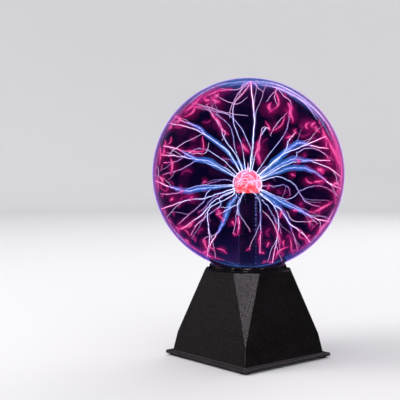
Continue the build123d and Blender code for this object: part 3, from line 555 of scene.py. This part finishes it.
def make_rocker_marks():
    """A bar on the half that is pressed to switch on, and a ring on the half that switches off."""
    rocker = frame["nodes"]["switch_rocker"]
    low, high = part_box("switch_rocker")
    middle = Vector(((low[0] + high[0]) / 2, (low[1] + high[1]) / 2, (low[2] + high[2]) / 2))
    into_world = rocker.matrix_world
    into_rocker = into_world.inverted()

    def surface(across, up, offset):
        """The point of the rocker's face behind a place in mm, lifted off it."""
        start = Vector((middle.x - across * MM, high[1] + 5 * MM, middle.z + up * MM))
        heading = (into_rocker.to_3x3() @ Vector((0, -1, 0))).normalized()
        hit, place, normal, _ = rocker.ray_cast(into_rocker @ start, heading)
        if not hit:
            raise RuntimeError("a rocker mark misses the rocker")
        return into_world @ place + (into_world.to_3x3() @ normal).normalized() * offset

    ring_radius, ring_hole, ring_corners, bar_across, bar_up = 1.35, 0.95, 24, 0.25, 1.4
    bar, bar_middle, ring, ring_middle = [], [], [], []
    for corner in range(ring_corners):
        angle = 2 * math.pi * corner / ring_corners
        for loop, radius in ((ring, ring_radius), (ring_middle, ring_hole)):
            loop.append((radius * math.cos(angle), radius * math.sin(angle) - MARK_SPACING))
    for right, top in ((1, 1), (-1, 1), (-1, -1), (1, -1)):
        across, up = right * bar_across, top * bar_up
        bar.append((across, up + MARK_SPACING))
        bar_middle.append((across * 0.1, up * 0.9 + MARK_SPACING))
    paint = moulded("mark_paint", (0.62, 0.62, 0.60), (0.72, 0.72, 0.70), (0.4, 0.5), 900, 0.005)
    painted_mark("mark_on", bar, bar_middle, surface, paint)
    painted_mark("mark_off", ring, ring_middle, surface, paint)


# -------------------- paths and tubes
def fractions(steps):
    """Even steps from 0 to 1, both included."""
    return [step / steps for step in range(steps + 1)]


def bezier(p0, p1, p2, p3, steps):
    points = []
    for t in fractions(steps):
        u = 1 - t
        points.append(p0 * u**3 + p1 * (3 * u * u * t) + p2 * (3 * u * t * t) + p3 * t**3)
    return points


def catmull_rom(points, steps):
    """A smooth curve through every point, with about the given number of steps in all."""
    padded = [points[0] * 2 - points[1], *points, points[-1] * 2 - points[-2]]
    spans = len(points) - 1
    each = max(4, steps // spans)
    curve = []
    for span in range(spans):
        before, start, end, after = padded[span : span + 4]
        for t in fractions(each)[:-1]:
            curve.append(
                (start * 2 + (end - before) * t + (before * 2 - start * 5 + end * 4 - after) * t * t
                 + (start * 3 - before - end * 3 + after) * t**3) * 0.5
            )
    curve.append(points[-1])
    return curve


def wander(points, seed, broad, fine):
    """Bends a path sideways with smooth noise, more in its middle than at its ends."""
    moved = []
    for t, point in zip(fractions(len(points) - 1), points):
        hold = math.sin(math.pi * min(1.0, t * 1.02)) ** 0.6 if 0 < t < 1 else 0.0
        slow = noise.noise_vector(Vector((seed * 7.31, t * 2.2, seed * 1.7))) * broad
        quick = noise.noise_vector(Vector((seed * 3.1, t * 13.0, 4.0))) * fine
        moved.append(point + (slow + quick) * hold)
    return moved


def keep_inside(points):
    """Keeps a path inside the gas and outside the stem."""
    kept = []
    limit = gas_radius - 0.5 * MM
    for point in points:
        out = point - globe_centre
        if out.length > limit:
            point = globe_centre + out.normalized() * limit
        across = Vector((point.x, point.y, 0))
        if point.z < electrode_centre.z and across.length < stem_clear_radius:
            point = Vector((0, 0, point.z)) + across.normalized() * stem_clear_radius
        kept.append(point)
    return kept


def streamer_path(direction, seed, lift, swing, broad, fine):
    """A streamer from the electrode to the wall. lift and swing bow it up and sideways, in mm."""
    end = globe_centre + direction * reach_radius
    aim = (end - electrode_centre).normalized()
    leave = aim.copy()
    leave.z = max(leave.z, -0.55)
    leave.normalize()
    start = electrode_centre + leave * (electrode_radius + 0.1 * MM)
    span = (end - start).length
    side = aim.cross(upwards).normalized() if abs(aim.z) < 0.98 else viewers_right
    bow = upwards * (lift * MM) + side * (swing * MM)
    first = start + leave * span * 0.34 + bow * 0.8
    second = end - (aim * 0.45 + direction * 0.55) * span * 0.30 + bow
    return keep_inside(wander(bezier(start, first, second, end, 56), seed, broad * MM, fine * MM))


def branch_path(parent, leave_at, direction, seed):
    """A branch that leaves its parent part of the way along and ends at its own wall point."""
    index = int(leave_at * (len(parent) - 1))
    start = parent[index]
    heading = (parent[min(index + 2, len(parent) - 1)] - parent[max(index - 2, 0)]).normalized()
    end = globe_centre + direction * reach_radius
    span = (end - start).length
    first = start + heading * span * 0.35
    second = end - ((end - start).normalized() * 0.6 + direction * 0.4) * span * 0.3
    return keep_inside(wander(bezier(start, first, second, end, 18), seed, 1.8 * MM, 0.9 * MM))


def drawn_streamer(stops, near, seed):
    """A streamer through stops given as (clock, reach). It ends on the near or the far wall."""
    side = 1 if near else -1
    places = []
    for order, (clock, reach) in enumerate(stops, 1):
        places.append(seen_place(clock, reach, side * (order / len(stops)) ** 1.5))
    leave = (places[0] - electrode_centre).normalized()
    start = electrode_centre + leave * (electrode_radius + 0.1 * MM)
    return keep_inside(wander(catmull_rom([start, *places], 60), seed, 2.6 * MM, 1.1 * MM))


def wall_route(start, end, near, seed, sway, bulge):
    """A path along the wall between two seen places, swaying sideways and lifting off the glass."""
    first = seen_direction(*start, near)
    last = seen_direction(*end, near)
    across = first.cross(last)
    across = across.normalized() if across.length > 1e-6 else upwards
    length = first.angle(last)
    swing = length * sway * math.sin(seed * 12.9)
    wave = seed * 2.3
    points = []
    for t in fractions(16):
        direction = first.lerp(last, t)
        direction += across * (swing * math.sin(math.pi * t) + 0.04 * length * math.sin(wave + 6 * t))
        lift = (1.0 + bulge * math.sin(math.pi * min(1.0, t * 1.1))) * MM
        points.append(globe_centre + direction.normalized() * (gas_radius - lift))
    return points


def seen_arc(clock_from, clock_to, reach, seed):
    """A path along the wall that keeps near one reach, waving a little towards and away."""
    stops = []
    steps = max(4, int((clock_to - clock_from) / 7))
    for step in range(steps + 1):
        clock = clock_from + (clock_to - clock_from) * step / steps
        depth = 0.75 * math.sin(seed * 1.7 + step * 0.45)
        stops.append(seen_place(clock, reach + 0.006 * math.sin(seed + step * 1.3), depth))
    return keep_inside(catmull_rom(stops, 60))


def tapered(start_mm, end_mm):
    return lambda t: (start_mm + (end_mm - start_mm) * t) * MM


def rooted(start_mm, end_mm):
    """Tapered, with a thicker root where it leaves the electrode."""
    return lambda t: (start_mm + (end_mm - start_mm) * t + 0.22 * math.exp(-t / 0.035)) * MM


def swelling(low_mm, high_mm, peak):
    """A radius that grows to a peak part of the way along and shrinks back again."""
    def radius(t):
        rise = min(1.0, t / peak)
        fall = min(1.0, (1 - t) / (1 - peak))
        return (low_mm + (high_mm - low_mm) * math.sin(math.pi / 2 * min(rise, fall)) ** 0.8) * MM
    return radius


def add_tube(work, path, radii, sides, limit):
    """Adds a closed tube to a bmesh. It is pressed flat at a limit from the globe's centre."""
    count = len(path)
    tangent = (path[1] - path[0]).normalized()
    normal = tangent.orthogonal().normalized()
    rings = []
    for index, point in enumerate(path):
        ahead = path[min(index + 1, count - 1)] - path[max(index - 1, 0)]
        if ahead.length > 1e-9:
            tangent = ahead.normalized()
            normal = (normal - tangent * normal.dot(tangent)).normalized()
        across = tangent.cross(normal)
        radius = radii(index / (count - 1))
        ring = []
        for corner in range(sides):
            angle = 2 * math.pi * corner / sides
            out = point + (normal * math.cos(angle) + across * math.sin(angle)) * radius - globe_centre
            if out.length > limit:
                out = out.normalized() * limit
            ring.append(work.verts.new(globe_centre + out))
        rings.append(ring)
    for near, far in zip(rings, rings[1:]):
        for corner in range(sides):
            following = (corner + 1) % sides
            face = work.faces.new((near[corner], near[following], far[following], far[corner]))
            face.smooth = True
    work.faces.new(list(reversed(rings[0])))
    work.faces.new(rings[-1])


# -------------------- the discharge
# The glowing pieces: each one's material, strength, alpha, flicker, sides of its tubes, and its
# colours on the way out as (share of the gas's radius, red, green, blue).
GLOWS = {
    "electrode_threads": ("electrode_light", 4.5, 0.85, 0, 6, [
        (0.0, 1.0, 0.55, 0.72), (0.25, 1.0, 0.72, 0.86),
    ]),
    "streamer_cores": ("streamer_light", 6.0, 1.0, 0, 8, [
        (0.12, 0.80, 0.92, 1.0), (0.55, 0.76, 0.86, 1.0), (0.82, 0.84, 0.82, 1.0), (0.93, 0.95, 0.66, 0.95),
        (0.99, 1.0, 0.36, 0.66),
    ]),
    "streamer_threads": ("thread_light", 2.7, 1.0, 0, 6, [
        (0.60, 0.54, 0.70, 1.0), (0.93, 0.64, 0.66, 1.0), (0.99, 0.85, 0.50, 1.0),
    ]),
    "streamer_halos": ("streamer_halo", 2.0, 0.07, 0, 8, [
        (0.1, 0.26, 0.50, 1.0), (0.45, 0.10, 0.24, 0.9), (0.74, 0.36, 0.10, 0.7), (0.91, 0.95, 0.03, 0.34),
    ]),
    "streamer_bands": ("blue_band", 2.6, 0.15, 0.45, 10, [
        (0.1, 0.14, 0.48, 1.0), (0.5, 0.07, 0.34, 1.0), (0.8, 0.07, 0.20, 0.85), (0.98, 0.2, 0.03, 0.4),
    ]),
    "flame_cores": ("flame_core", 3.4, 0.40, 0, 6, [
        (0.80, 1.0, 0.34, 0.60), (0.95, 1.0, 0.24, 0.48), (1.0, 1.0, 0.14, 0.40),
    ]),
    "flames": ("flame", 3.2, 0.080, 0.30, 8, [
        (0.80, 1.0, 0.12, 0.44), (0.93, 1.0, 0.075, 0.31), (1.0, 0.85, 0.03, 0.24),
    ]),
    "flame_haze": ("flame_haze", 1.35, 0.021, 0.55, 7, [
        (0.80, 0.62, 0.02, 0.36), (0.97, 0.80, 0.010, 0.22), (1.0, 0.60, 0.02, 0.34),
    ]),
    "touch_lines": ("touch_light", 4.0, 0.7, 0, 6, [(0.80, 0.80, 0.68, 1.0), (1.0, 0.78, 0.62, 1.0)]),
    "touch_haze": ("touch_haze", 1.5, 0.11, 0.5, 8, [(0.80, 0.40, 0.22, 0.9), (1.0, 0.50, 0.26, 1.0)]),
    "cap_glow": ("cap_glow", 1.4, 0.09, 0.6, 8, [(0.80, 0.06, 0.26, 1.0), (1.0, 0.07, 0.36, 1.0)]),
}

# The streamers that are set out one by one: on the near wall or not, thickness, width of a soft
# blue band in mm (0 for none), and the stops on the way out as (clock, reach).
STREAMERS = [
    # up to the crown of the globe
    (True, 1.7, 0, [(12, 0.22), (7, 0.56), (2, 0.94)]),
    (True, 0.7, 0, [(-13, 0.30), (-17, 0.52), (-12, 0.69), (-5, 0.78), (2, 0.92)]),
    (False, 0.8, 0, [(10, 0.24), (-15, 0.60), (-32, 0.80), (-38, 0.95)]),
    (True, 0.8, 0, [(19, 0.37), (22, 0.48), (28, 0.49)]),
    # upper left
    (True, 1.2, 2.4, [(-42, 0.30), (-46, 0.57), (-46, 0.70), (-50, 0.85), (-52, 0.97)]),
    (True, 0.9, 0, [(-40, 0.32), (-45, 0.55), (-50, 0.74), (-57, 0.96)]),
    (True, 0.8, 0, [(-32, 0.26), (-33, 0.41), (-29, 0.56), (-29, 0.67)]),
    (False, 0.5, 0, [(-28, 0.30), (-22, 0.55), (-30, 0.80), (-26, 0.94)]),
    (True, 1.2, 3.4, [(-76, 0.30), (-71, 0.42), (-73, 0.53), (-70, 0.72), (-71, 0.88)]),
    (True, 0.9, 0, [(-76, 0.31), (-72, 0.52), (-75, 0.72), (-77, 0.87)]),
    (False, 0.8, 0, [(-74, 0.30), (-75, 0.55), (-86, 0.75), (-91, 0.94)]),
    (False, 0.7, 0, [(-60, 0.35), (-62, 0.60), (-80, 0.80), (-83, 0.94)]),
    # left and lower left
    (True, 1.3, 3.2, [(-108, 0.46), (-104, 0.66), (-98, 0.79), (-94, 0.93)]),
    (False, 0.8, 0, [(-107, 0.45), (-104, 0.66), (-105, 0.83), (-103, 0.97)]),
    (True, 1.0, 0, [(-121, 0.41), (-114, 0.63), (-112, 0.96)]),
    (False, 0.9, 0, [(-112, 0.45), (-122, 0.63), (-126, 0.95)]),
    (True, 1.0, 0, [(-129, 0.40), (-133, 0.57), (-130, 0.84)]),
    (False, 0.9, 0, [(-130, 0.38), (-137, 0.47), (-135, 0.77), (-137, 0.93)]),
    (True, 0.9, 0, [(-134, 0.54), (-149, 0.72), (-154, 0.92)]),
    (True, 1.0, 3.0, [(-150, 0.40), (-152, 0.61), (-153, 0.80)]),
    (True, 0.8, 0, [(-165, 0.31), (-173, 0.52)]),
    (True, 0.6, 0, [(-160, 0.33), (-144, 0.46)]),
    # lower right
    (True, 1.2, 2.6, [(130, 0.37), (127, 0.52), (125, 0.67), (122, 0.82), (120, 0.97)]),
    (False, 0.9, 0, [(130, 0.38), (125, 0.67), (126, 0.93)]),
    (True, 1.1, 0, [(140, 0.40), (137, 0.52), (139, 0.64), (137, 0.80), (137, 0.93)]),
    (False, 0.9, 2.4, [(139, 0.42), (139, 0.58), (143, 0.77), (147, 0.97)]),
    (True, 0.9, 0, [(141, 0.43), (151, 0.65), (164, 0.93)]),
    (True, 0.5, 0, [(156, 0.36), (170, 0.78)]),
    (False, 0.9, 0, [(95, 0.30), (103, 0.46), (114, 0.61), (117, 0.70), (115, 0.88)]),
    (False, 0.6, 0, [(123, 0.50), (107, 0.61), (100, 0.78), (103, 0.97)]),
    # right and upper right
    (True, 1.0, 0, [(62, 0.36), (62, 0.51), (63, 0.65), (64, 0.86)]),
    (True, 0.9, 0, [(60, 0.41), (52, 0.52), (49, 0.63)]),
    (True, 1.1, 3.2, [(65, 0.35), (60, 0.52), (61, 0.63), (67, 0.71), (72, 0.84)]),
    (True, 1.0, 3.4, [(72, 0.42), (74, 0.53), (78, 0.66), (80, 0.83)]),
    (True, 1.1, 3.0, [(88, 0.29), (82, 0.45), (84, 0.58), (89, 0.70), (96, 0.83), (99, 0.97)]),
    (False, 0.8, 0, [(72, 0.51), (67, 0.58), (69, 0.76), (81, 0.92)]),
    (True, 0.8, 0, [(76, 0.50), (81, 0.75), (92, 0.96)]),
    (False, 0.7, 0, [(45, 0.40), (40, 0.65), (30, 0.88)]),
]
SCATTERED_STREAMERS = 9

# Thin white threads near the wall, drawn through stops given as (clock, reach).
THREADS = [
    [(-38, 0.94), (-29, 0.75), (-16, 0.62), (2, 0.57)],
    [(1, 0.93), (-5, 0.82), (-12, 0.69), (-16, 0.57)],
    [(-22, 0.86), (-16, 0.75), (-8, 0.70), (1, 0.76)],
    [(1, 0.93), (-3, 0.87), (-8, 0.85), (-17, 0.90)],
    [(1, 0.93), (6, 0.89), (11, 0.83)],
    [(1, 0.93), (-3, 0.89), (-6, 0.76)],
    [(19, 0.92), (24, 0.87), (29, 0.85), (34, 0.79)],
    [(19, 0.92), (18, 0.84), (15, 0.74)],
    [(19, 0.92), (20, 0.81), (24, 0.74)],
    [(33, 0.72), (30, 0.59), (30, 0.51), (32, 0.44)],
    [(-27, 0.51), (-25, 0.45), (-34, 0.40)],
    [(29, 0.27), (18, 0.46), (23, 0.50)],
    [(-77, 0.79), (-69, 0.74), (-46, 0.58)],
    [(-69, 0.66), (-67, 0.54), (-59, 0.44), (-48, 0.47)],
    [(-134, 0.48), (-135, 0.60), (-135, 0.72)],
    [(154, 0.37), (151, 0.53), (156, 0.82)],
    [(135, 0.76), (136, 0.84), (137, 0.91)],
    [(131, 0.52), (134, 0.63), (124, 0.81)],
]

# Soft crimson flames on the near wall: start and end as (clock, reach), and width in mm.
FLAMES = [
    # upper left
    ((-25, 0.86), (-20, 0.77), 2.2), ((-26, 0.85), (-29, 0.92), 2.0), ((-19, 0.89), (-25, 0.86), 1.6),
    ((-38, 0.94), (-36, 0.88), 1.2), ((-36, 0.89), (-48, 0.86), 1.4), ((-52, 0.95), (-51, 0.85), 1.5),
    ((-57, 0.95), (-60, 0.96), 1.0), ((-30, 0.68), (-27, 0.51), 1.6), ((-28, 0.56), (-23, 0.42), 1.2),
    ((-46, 0.58), (-66, 0.46), 0.7), ((-69, 0.66), (-54, 0.46), 1.2), ((-74, 0.88), (-78, 0.92), 1.6),
    ((-46, 0.92), (-29, 0.955), 1.5), ((-16, 0.93), (-30, 0.90), 1.3), ((-9, 0.88), (-22, 0.92), 1.0),
    ((-55, 0.90), (-49, 0.93), 1.4), ((-33, 0.81), (-40, 0.90), 1.2), ((-69, 0.74), (-69, 0.68), 1.0),
    ((-77, 0.79), (-91, 0.75), 1.4), ((-72, 0.97), (-85, 0.91), 1.2),
    # upper right
    ((19, 0.92), (21, 0.65), 1.4), ((29, 0.84), (35, 0.80), 1.6), ((32, 0.80), (41, 0.68), 1.3),
    ((53, 0.76), (50, 0.83), 1.6), ((54, 0.85), (60, 0.85), 2.0), ((49, 0.60), (46, 0.54), 1.4),
    ((33, 0.72), (31, 0.46), 0.8), ((18, 0.46), (53, 0.14), 0.7), ((29, 0.27), (56, 0.18), 1.4),
    ((84, 0.75), (89, 0.78), 1.6), ((77, 0.55), (72, 0.53), 1.3), ((57, 0.91), (73, 0.93), 1.8),
    ((72, 0.96), (86, 0.98), 1.6), ((19, 0.77), (22, 0.67), 2.0),
    ((34, 0.84), (38, 0.72), 1.9), ((52, 0.88), (55, 0.81), 2.2), ((84, 0.71), (87, 0.79), 2.2),
    ((20, 0.36), (34, 0.20), 2.2), ((-8, 0.32), (8, 0.22), 2.0), ((66, 0.90), (84, 0.94), 2.0),
    # lower left
    ((-91, 0.91), (-98, 0.88), 1.4), ((-112, 0.59), (-114, 0.60), 1.8), ((-109, 0.83), (-109, 0.78), 1.5),
    ((-102, 0.65), (-105, 0.70), 1.1), ((-100, 0.43), (-98, 0.38), 0.9), ((-142, 0.43), (-143, 0.47), 1.3),
    ((-163, 0.47), (-168, 0.51), 1.3), ((-131, 0.82), (-132, 0.69), 1.5), ((-131, 0.82), (-130, 0.91), 1.5),
    ((-126, 0.92), (-131, 0.93), 1.3), ((-147, 0.77), (-154, 0.89), 1.3), ((-154, 0.89), (-153, 0.97), 1.3),
    ((-136, 0.95), (-141, 0.96), 1.0), ((-158, 0.80), (-167, 0.82), 0.9), ((-170, 0.39), (-174, 0.51), 1.0),
    # lower right
    ((91, 0.49), (87, 0.44), 1.1), ((97, 0.67), (93, 0.58), 1.2), ((97, 0.67), (94, 0.80), 1.4),
    ((109, 0.25), (122, 0.25), 1.3), ((99, 0.88), (97, 0.98), 1.8), ((106, 0.92), (119, 0.71), 1.6),
    ((124, 0.63), (125, 0.57), 1.1), ((133, 0.49), (142, 0.54), 1.4), ((148, 0.54), (157, 0.81), 1.0),
    ((161, 0.71), (164, 0.76), 1.1), ((165, 0.55), (169, 0.76), 0.7), ((149, 0.76), (153, 0.83), 1.0),
    ((144, 0.76), (148, 0.96), 0.9), ((135, 0.76), (137, 0.91), 0.8), ((124, 0.81), (129, 0.82), 1.3),
    ((133, 0.90), (139, 0.93), 1.2), ((149, 0.84), (162, 0.92), 1.1), ((121, 0.96), (132, 0.98), 1.2),
]
FAR_FLAMES = 40

# Glow that runs along the wall where it is seen edge on: clock from, clock to, reach, width in mm.
PINK_ARCS = [
    (50, 100, 0.965, 2.4), (62, 92, 0.94, 2.4), (-66, -14, 0.970, 1.8), (-50, -20, 0.93, 2.0),
    (-104, -72, 0.970, 1.3), (-150, -118, 0.970, 1.6), (112, 152, 0.965, 1.8), (-165, -140, 0.94, 1.6),
    (66, 98, 0.975, 1.6),
]
PINK_LINES = [
    (52, 104, 0.974, 0.40), (60, 96, 0.960, 0.35), (72, 92, 0.940, 0.30), (-62, -30, 0.974, 0.25),
    (108, 146, 0.974, 0.28), (-150, -120, 0.974, 0.25), (-96, -70, 0.975, 0.22),
]
LILAC_ARCS = [
    (2, 74, 0.973, 0.50), (4, 66, 0.958, 0.42), (8, 56, 0.938, 0.36), (10, 44, 0.968, 0.45),
    (16, 70, 0.948, 0.28), (18, 62, 0.975, 0.40), (-40, -12, 0.972, 0.28), (30, 52, 0.922, 0.28),
    (6, 30, 0.952, 0.35), (112, 140, 0.970, 0.22), (-140, -122, 0.972, 0.20),
]
BLUE_ARCS = [(-28, 22, 0.972, 1.1), (150, 215, 0.972, 1.1), (158, 205, 0.955, 0.7), (8, 60, 0.938, 1.6)]

# Each glowing piece's tubes, and the random draws. Without a seed, Blender's noise uses the clock.
SEED = 41
tubes = {piece: [] for piece in GLOWS}
picker = random.Random(SEED)
noise.seed_set(SEED)


def lay(piece, path, radii):
    """Adds a tube to a glowing piece: its path, and its radius at a share of its length."""
    tubes[piece].append((path, radii))


def add_flame(path, width, bright=True):
    """Nested tubes that thin out towards the outside, so that the flame has a soft edge."""
    if bright:
        middle = path[len(path) // 6 : -(len(path) // 4)]
        lay("flame_cores", middle, swelling(0.05, 0.17 * width, 0.4))
    for share in (0.30, 0.48, 0.70):
        lay("flames", path, swelling(0.05, share * width, 0.42))
    for share in (0.95, 1.20, 1.50, 1.85, 2.25, 2.70, 3.20):
        lay("flame_haze", path[::2], swelling(0.1, share * width, 0.5))


def add_landing(direction, seed, width):
    """A short flame where a streamer meets the wall, mostly along the vertical."""
    rise = (upwards - direction * direction.dot(upwards)).normalized()
    across = direction.cross(rise)
    angle = picker.gauss(0, 0.5) + (0 if direction.z > 0 else math.pi)
    away = rise * math.cos(angle) + across * math.sin(angle)
    length = picker.uniform(0.04, 0.14)
    points = []
    for t in fractions(12):
        bend = away * (t * length) + across * (0.010 * math.sin(seed + 5 * t))
        lift = (1.0 + 1.4 * math.sin(math.pi * t)) * MM
        points.append(globe_centre + (direction + bend).normalized() * (gas_radius - lift))
    add_flame(points, width)


def add_streamer(path, thickness, band, seed):
    """A white core in faint halos, with a soft blue band if it has one, side threads and flames."""
    direction = (path[-1] - globe_centre).normalized()
    lay("streamer_cores", path, rooted(0.31 * thickness, 0.17 * thickness))
    lay("streamer_halos", path, tapered(0.65 * thickness, 1.1))
    lay("streamer_halos", path, tapered(1.0 * thickness, 2.0))
    if band:
        soft = path[: int(len(path) * 0.80)]
        for share in (0.36, 0.58, 0.84, 1.12):
            lay("streamer_bands", soft, swelling(0.4, band * share, 0.45))
    for tip in range(picker.choice((0, 1, 1, 2))):
        turn = Vector([picker.uniform(-1, 1) for _ in range(3)]) * 0.16
        tip_direction = (direction + turn).normalized()
        tip_path = branch_path(path, picker.uniform(0.55, 0.84), tip_direction, seed + tip * 3.3)
        lay("streamer_threads", tip_path, tapered(0.22, 0.10))
        lay("streamer_halos", tip_path, tapered(0.5, 0.9))
        if tip == 0:
            add_landing(tip_direction, seed + 7.0, 1.1)
    if direction.z < 0.93:
        add_landing(direction, seed, 1.45)


def add_streamers():
    for number, (near, thickness, band, stops) in enumerate(STREAMERS):
        add_streamer(drawn_streamer(stops, near, number + 0.5), thickness, band, number)
    for number in range(SCATTERED_STREAMERS):
        clock = 55 + 250 * (number + picker.uniform(0.1, 0.9)) / SCATTERED_STREAMERS
        direction = seen_direction(clock, picker.uniform(0.25, 0.85), False)
        lift, swing = picker.uniform(0, 12), picker.uniform(-12, 12)
        path = streamer_path(direction, number + 60.5, lift, swing, 7.0, 1.6)
        add_streamer(path, picker.uniform(0.5, 0.8), 2.6 if number % 4 == 0 else 0, number + 800)
    for number, stops in enumerate(THREADS):
        places = [seen_place(clock, reach, 0.93) for clock, reach in stops]
        path = keep_inside(wander(catmull_rom(places, 30), number + 300.5, 1.6 * MM, 0.8 * MM))
        lay("streamer_threads", path, swelling(0.10, 0.21, 0.5))
        lay("streamer_halos", path, swelling(0.2, 0.6, 0.5))


def add_flames():
    for number, (start, end, width) in enumerate(FLAMES):
        add_flame(wall_route(start, end, True, number + 1.0, 0.14, 1.8), 1.8 * width)
    for number in range(FAR_FLAMES):
        clock, reach = picker.uniform(-180, 180), math.sqrt(picker.uniform(0.12, 0.96))
        end_clock = clock + picker.uniform(-10, 10)
        end_reach = min(0.99, max(0.1, reach + picker.uniform(-0.14, 0.14)))
        path = wall_route((clock, reach), (end_clock, end_reach), False, number + 90.0, 0.25, 2.5)
        add_flame(path, picker.uniform(1.8, 3.4), False)


def add_arcs():
    """Glow that runs along the wall, seen edge on."""
    for number, (*arc, width) in enumerate(PINK_ARCS):
        add_flame(seen_arc(*arc, number + 0.3), width, False)
    for number, (*arc, width) in enumerate(PINK_LINES):
        lay("flame_cores", seen_arc(*arc, number + 2.6), swelling(0.08, width, 0.5))
    for number, (*arc, width) in enumerate(LILAC_ARCS):
        path = seen_arc(*arc, number + 5.1)
        lay("touch_lines", path, swelling(0.08, width, 0.35))
        for share in (2.6, 4.2):
            lay("touch_haze", path, swelling(0.3, width * share, 0.4))
    for number, (*arc, width) in enumerate(BLUE_ARCS):
        path = seen_arc(*arc, number + 9.7)
        for low_mm, share in ((0.3, 0.6), (0.4, 1)):
            lay("cap_glow", path, swelling(low_mm, width * share, 0.5))


def below_crown(polar, around, depth):
    """The point at an angle from straight up, and at a depth in mm below the gas's edge."""
    across = math.sin(polar)
    out = Vector((across * math.cos(around), across * math.sin(around), math.cos(polar)))
    return globe_centre + out * (gas_radius - depth * MM)


def add_crown():
    """The blue cap under the crown: rings of glow along the wall, and threads that fan out."""
    for number in range(6):
        polar = math.radians(3 + 2.8 * number)
        ring = [below_crown(polar, 2 * math.pi * turn / 48, 2.4) for turn in range(49)]
        lay("cap_glow", ring, tapered(1.4, 1.4))
    fan_threads = 15
    for number in range(fan_threads):
        around = 2 * math.pi * (number + picker.uniform(-0.3, 0.3)) / fan_threads
        reach = picker.uniform(0.14, 0.42)
        fan = []
        for t in fractions(12):
            turned = around + 0.5 * math.sin(number * 2.1) * t
            fan.append(below_crown(0.02 + reach * t, turned, 1.2 + 2.5 * t * (1 - t)))
        lay("streamer_threads", fan, tapered(0.26, 0.07))
        lay("touch_haze", fan, tapered(0.8, 0.3))


def add_electrode_threads():
    """Bright threads over the bulb's near side, arcs along its outline and a spike on its top."""
    for number in range(9):
        first = seen_direction(picker.uniform(-110, 125), picker.uniform(0.55, 1.0), True)
        last = seen_direction(picker.uniform(-110, 125), picker.uniform(0.3, 1.0), True)
        crawl = []
        for t in fractions(12):
            sway = noise.noise_vector(Vector((number * 3.7, 3 * t, 1.0))) * 0.35
            turned = (first.lerp(last, t) + sway).normalized()
            crawl.append(electrode_centre + turned * (electrode_radius + 0.35 * MM))
        lay("electrode_threads", crawl, swelling(0.12, 0.42, 0.3))
    for number, (clock_from, clock_to) in enumerate(((-115, -20), (-60, 40), (20, 118), (60, 125))):
        rim = []
        for step in range(17):
            clock = clock_from + (clock_to - clock_from) * step / 16
            out = seen_direction(clock, 0.97 - 0.03 * number, True)
            lift = (0.4 + 0.2 * math.sin(step + number)) * MM
            rim.append(electrode_centre + out * (electrode_radius + lift))
        lay("electrode_threads", rim, swelling(0.3, 0.60, 0.5))
    for low_mm, height in ((2.6, 3.0), (1.6, 5.0), (0.8, 8.0)):
        spike = []
        for step in range(7):
            spike.append(electrode_centre + upwards * (electrode_radius + (height * step / 6 - 0.8) * MM))
        lay("electrode_threads", spike, tapered(low_mm, 0.15))


def make_discharge():
    add_streamers()
    add_flames()
    add_arcs()
    add_crown()
    add_electrode_threads()
    for name, (material, strength, alpha, flicker, sides, stops) in GLOWS.items():
        work = bmesh.new()
        for number, (path, radii) in enumerate(tubes[name]):
            # the limits differ a little, so that tubes pressed flat don't share a face
            limit = gas_radius - (0.15 + 0.004 * (number % 60)) * MM
            add_tube(work, path, radii, sides, limit)
        piece = add_mesh(name, work, glowing(material, strength, alpha, flicker, stops))
        piece.visible_diffuse = False
        piece.visible_shadow = False
        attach(piece, ROOT)


def make_gas_shell():
    """A closed ball just inside the glass that holds the gas's glow, and a painted shade that darkens the
    globe's inside.
    """
    work = bmesh.new()
    bmesh.ops.create_uvsphere(work, u_segments=96, v_segments=64, radius=gas_radius)
    for vert in work.verts:
        vert.co += globe_centre
    for face in work.faces:
        face.smooth = True
    piece = add_mesh("gas_glow_and_painted_shade", work, gas())
    piece.visible_diffuse = False
    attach(piece, ROOT)


# -------------------- make everything
scene = bpy.context.scene
scene.view_settings.view_transform = "Standard"
scene.cycles.transparent_max_bounces = 120
scene.cycles.max_bounces = 24
scene.cycles.transmission_bounces = 16
make_camera()
make_floor()
make_lights()
make_reflection_dome()
make_world()
dress_cad()
make_rocker_marks()
make_gas_shell()
make_discharge()
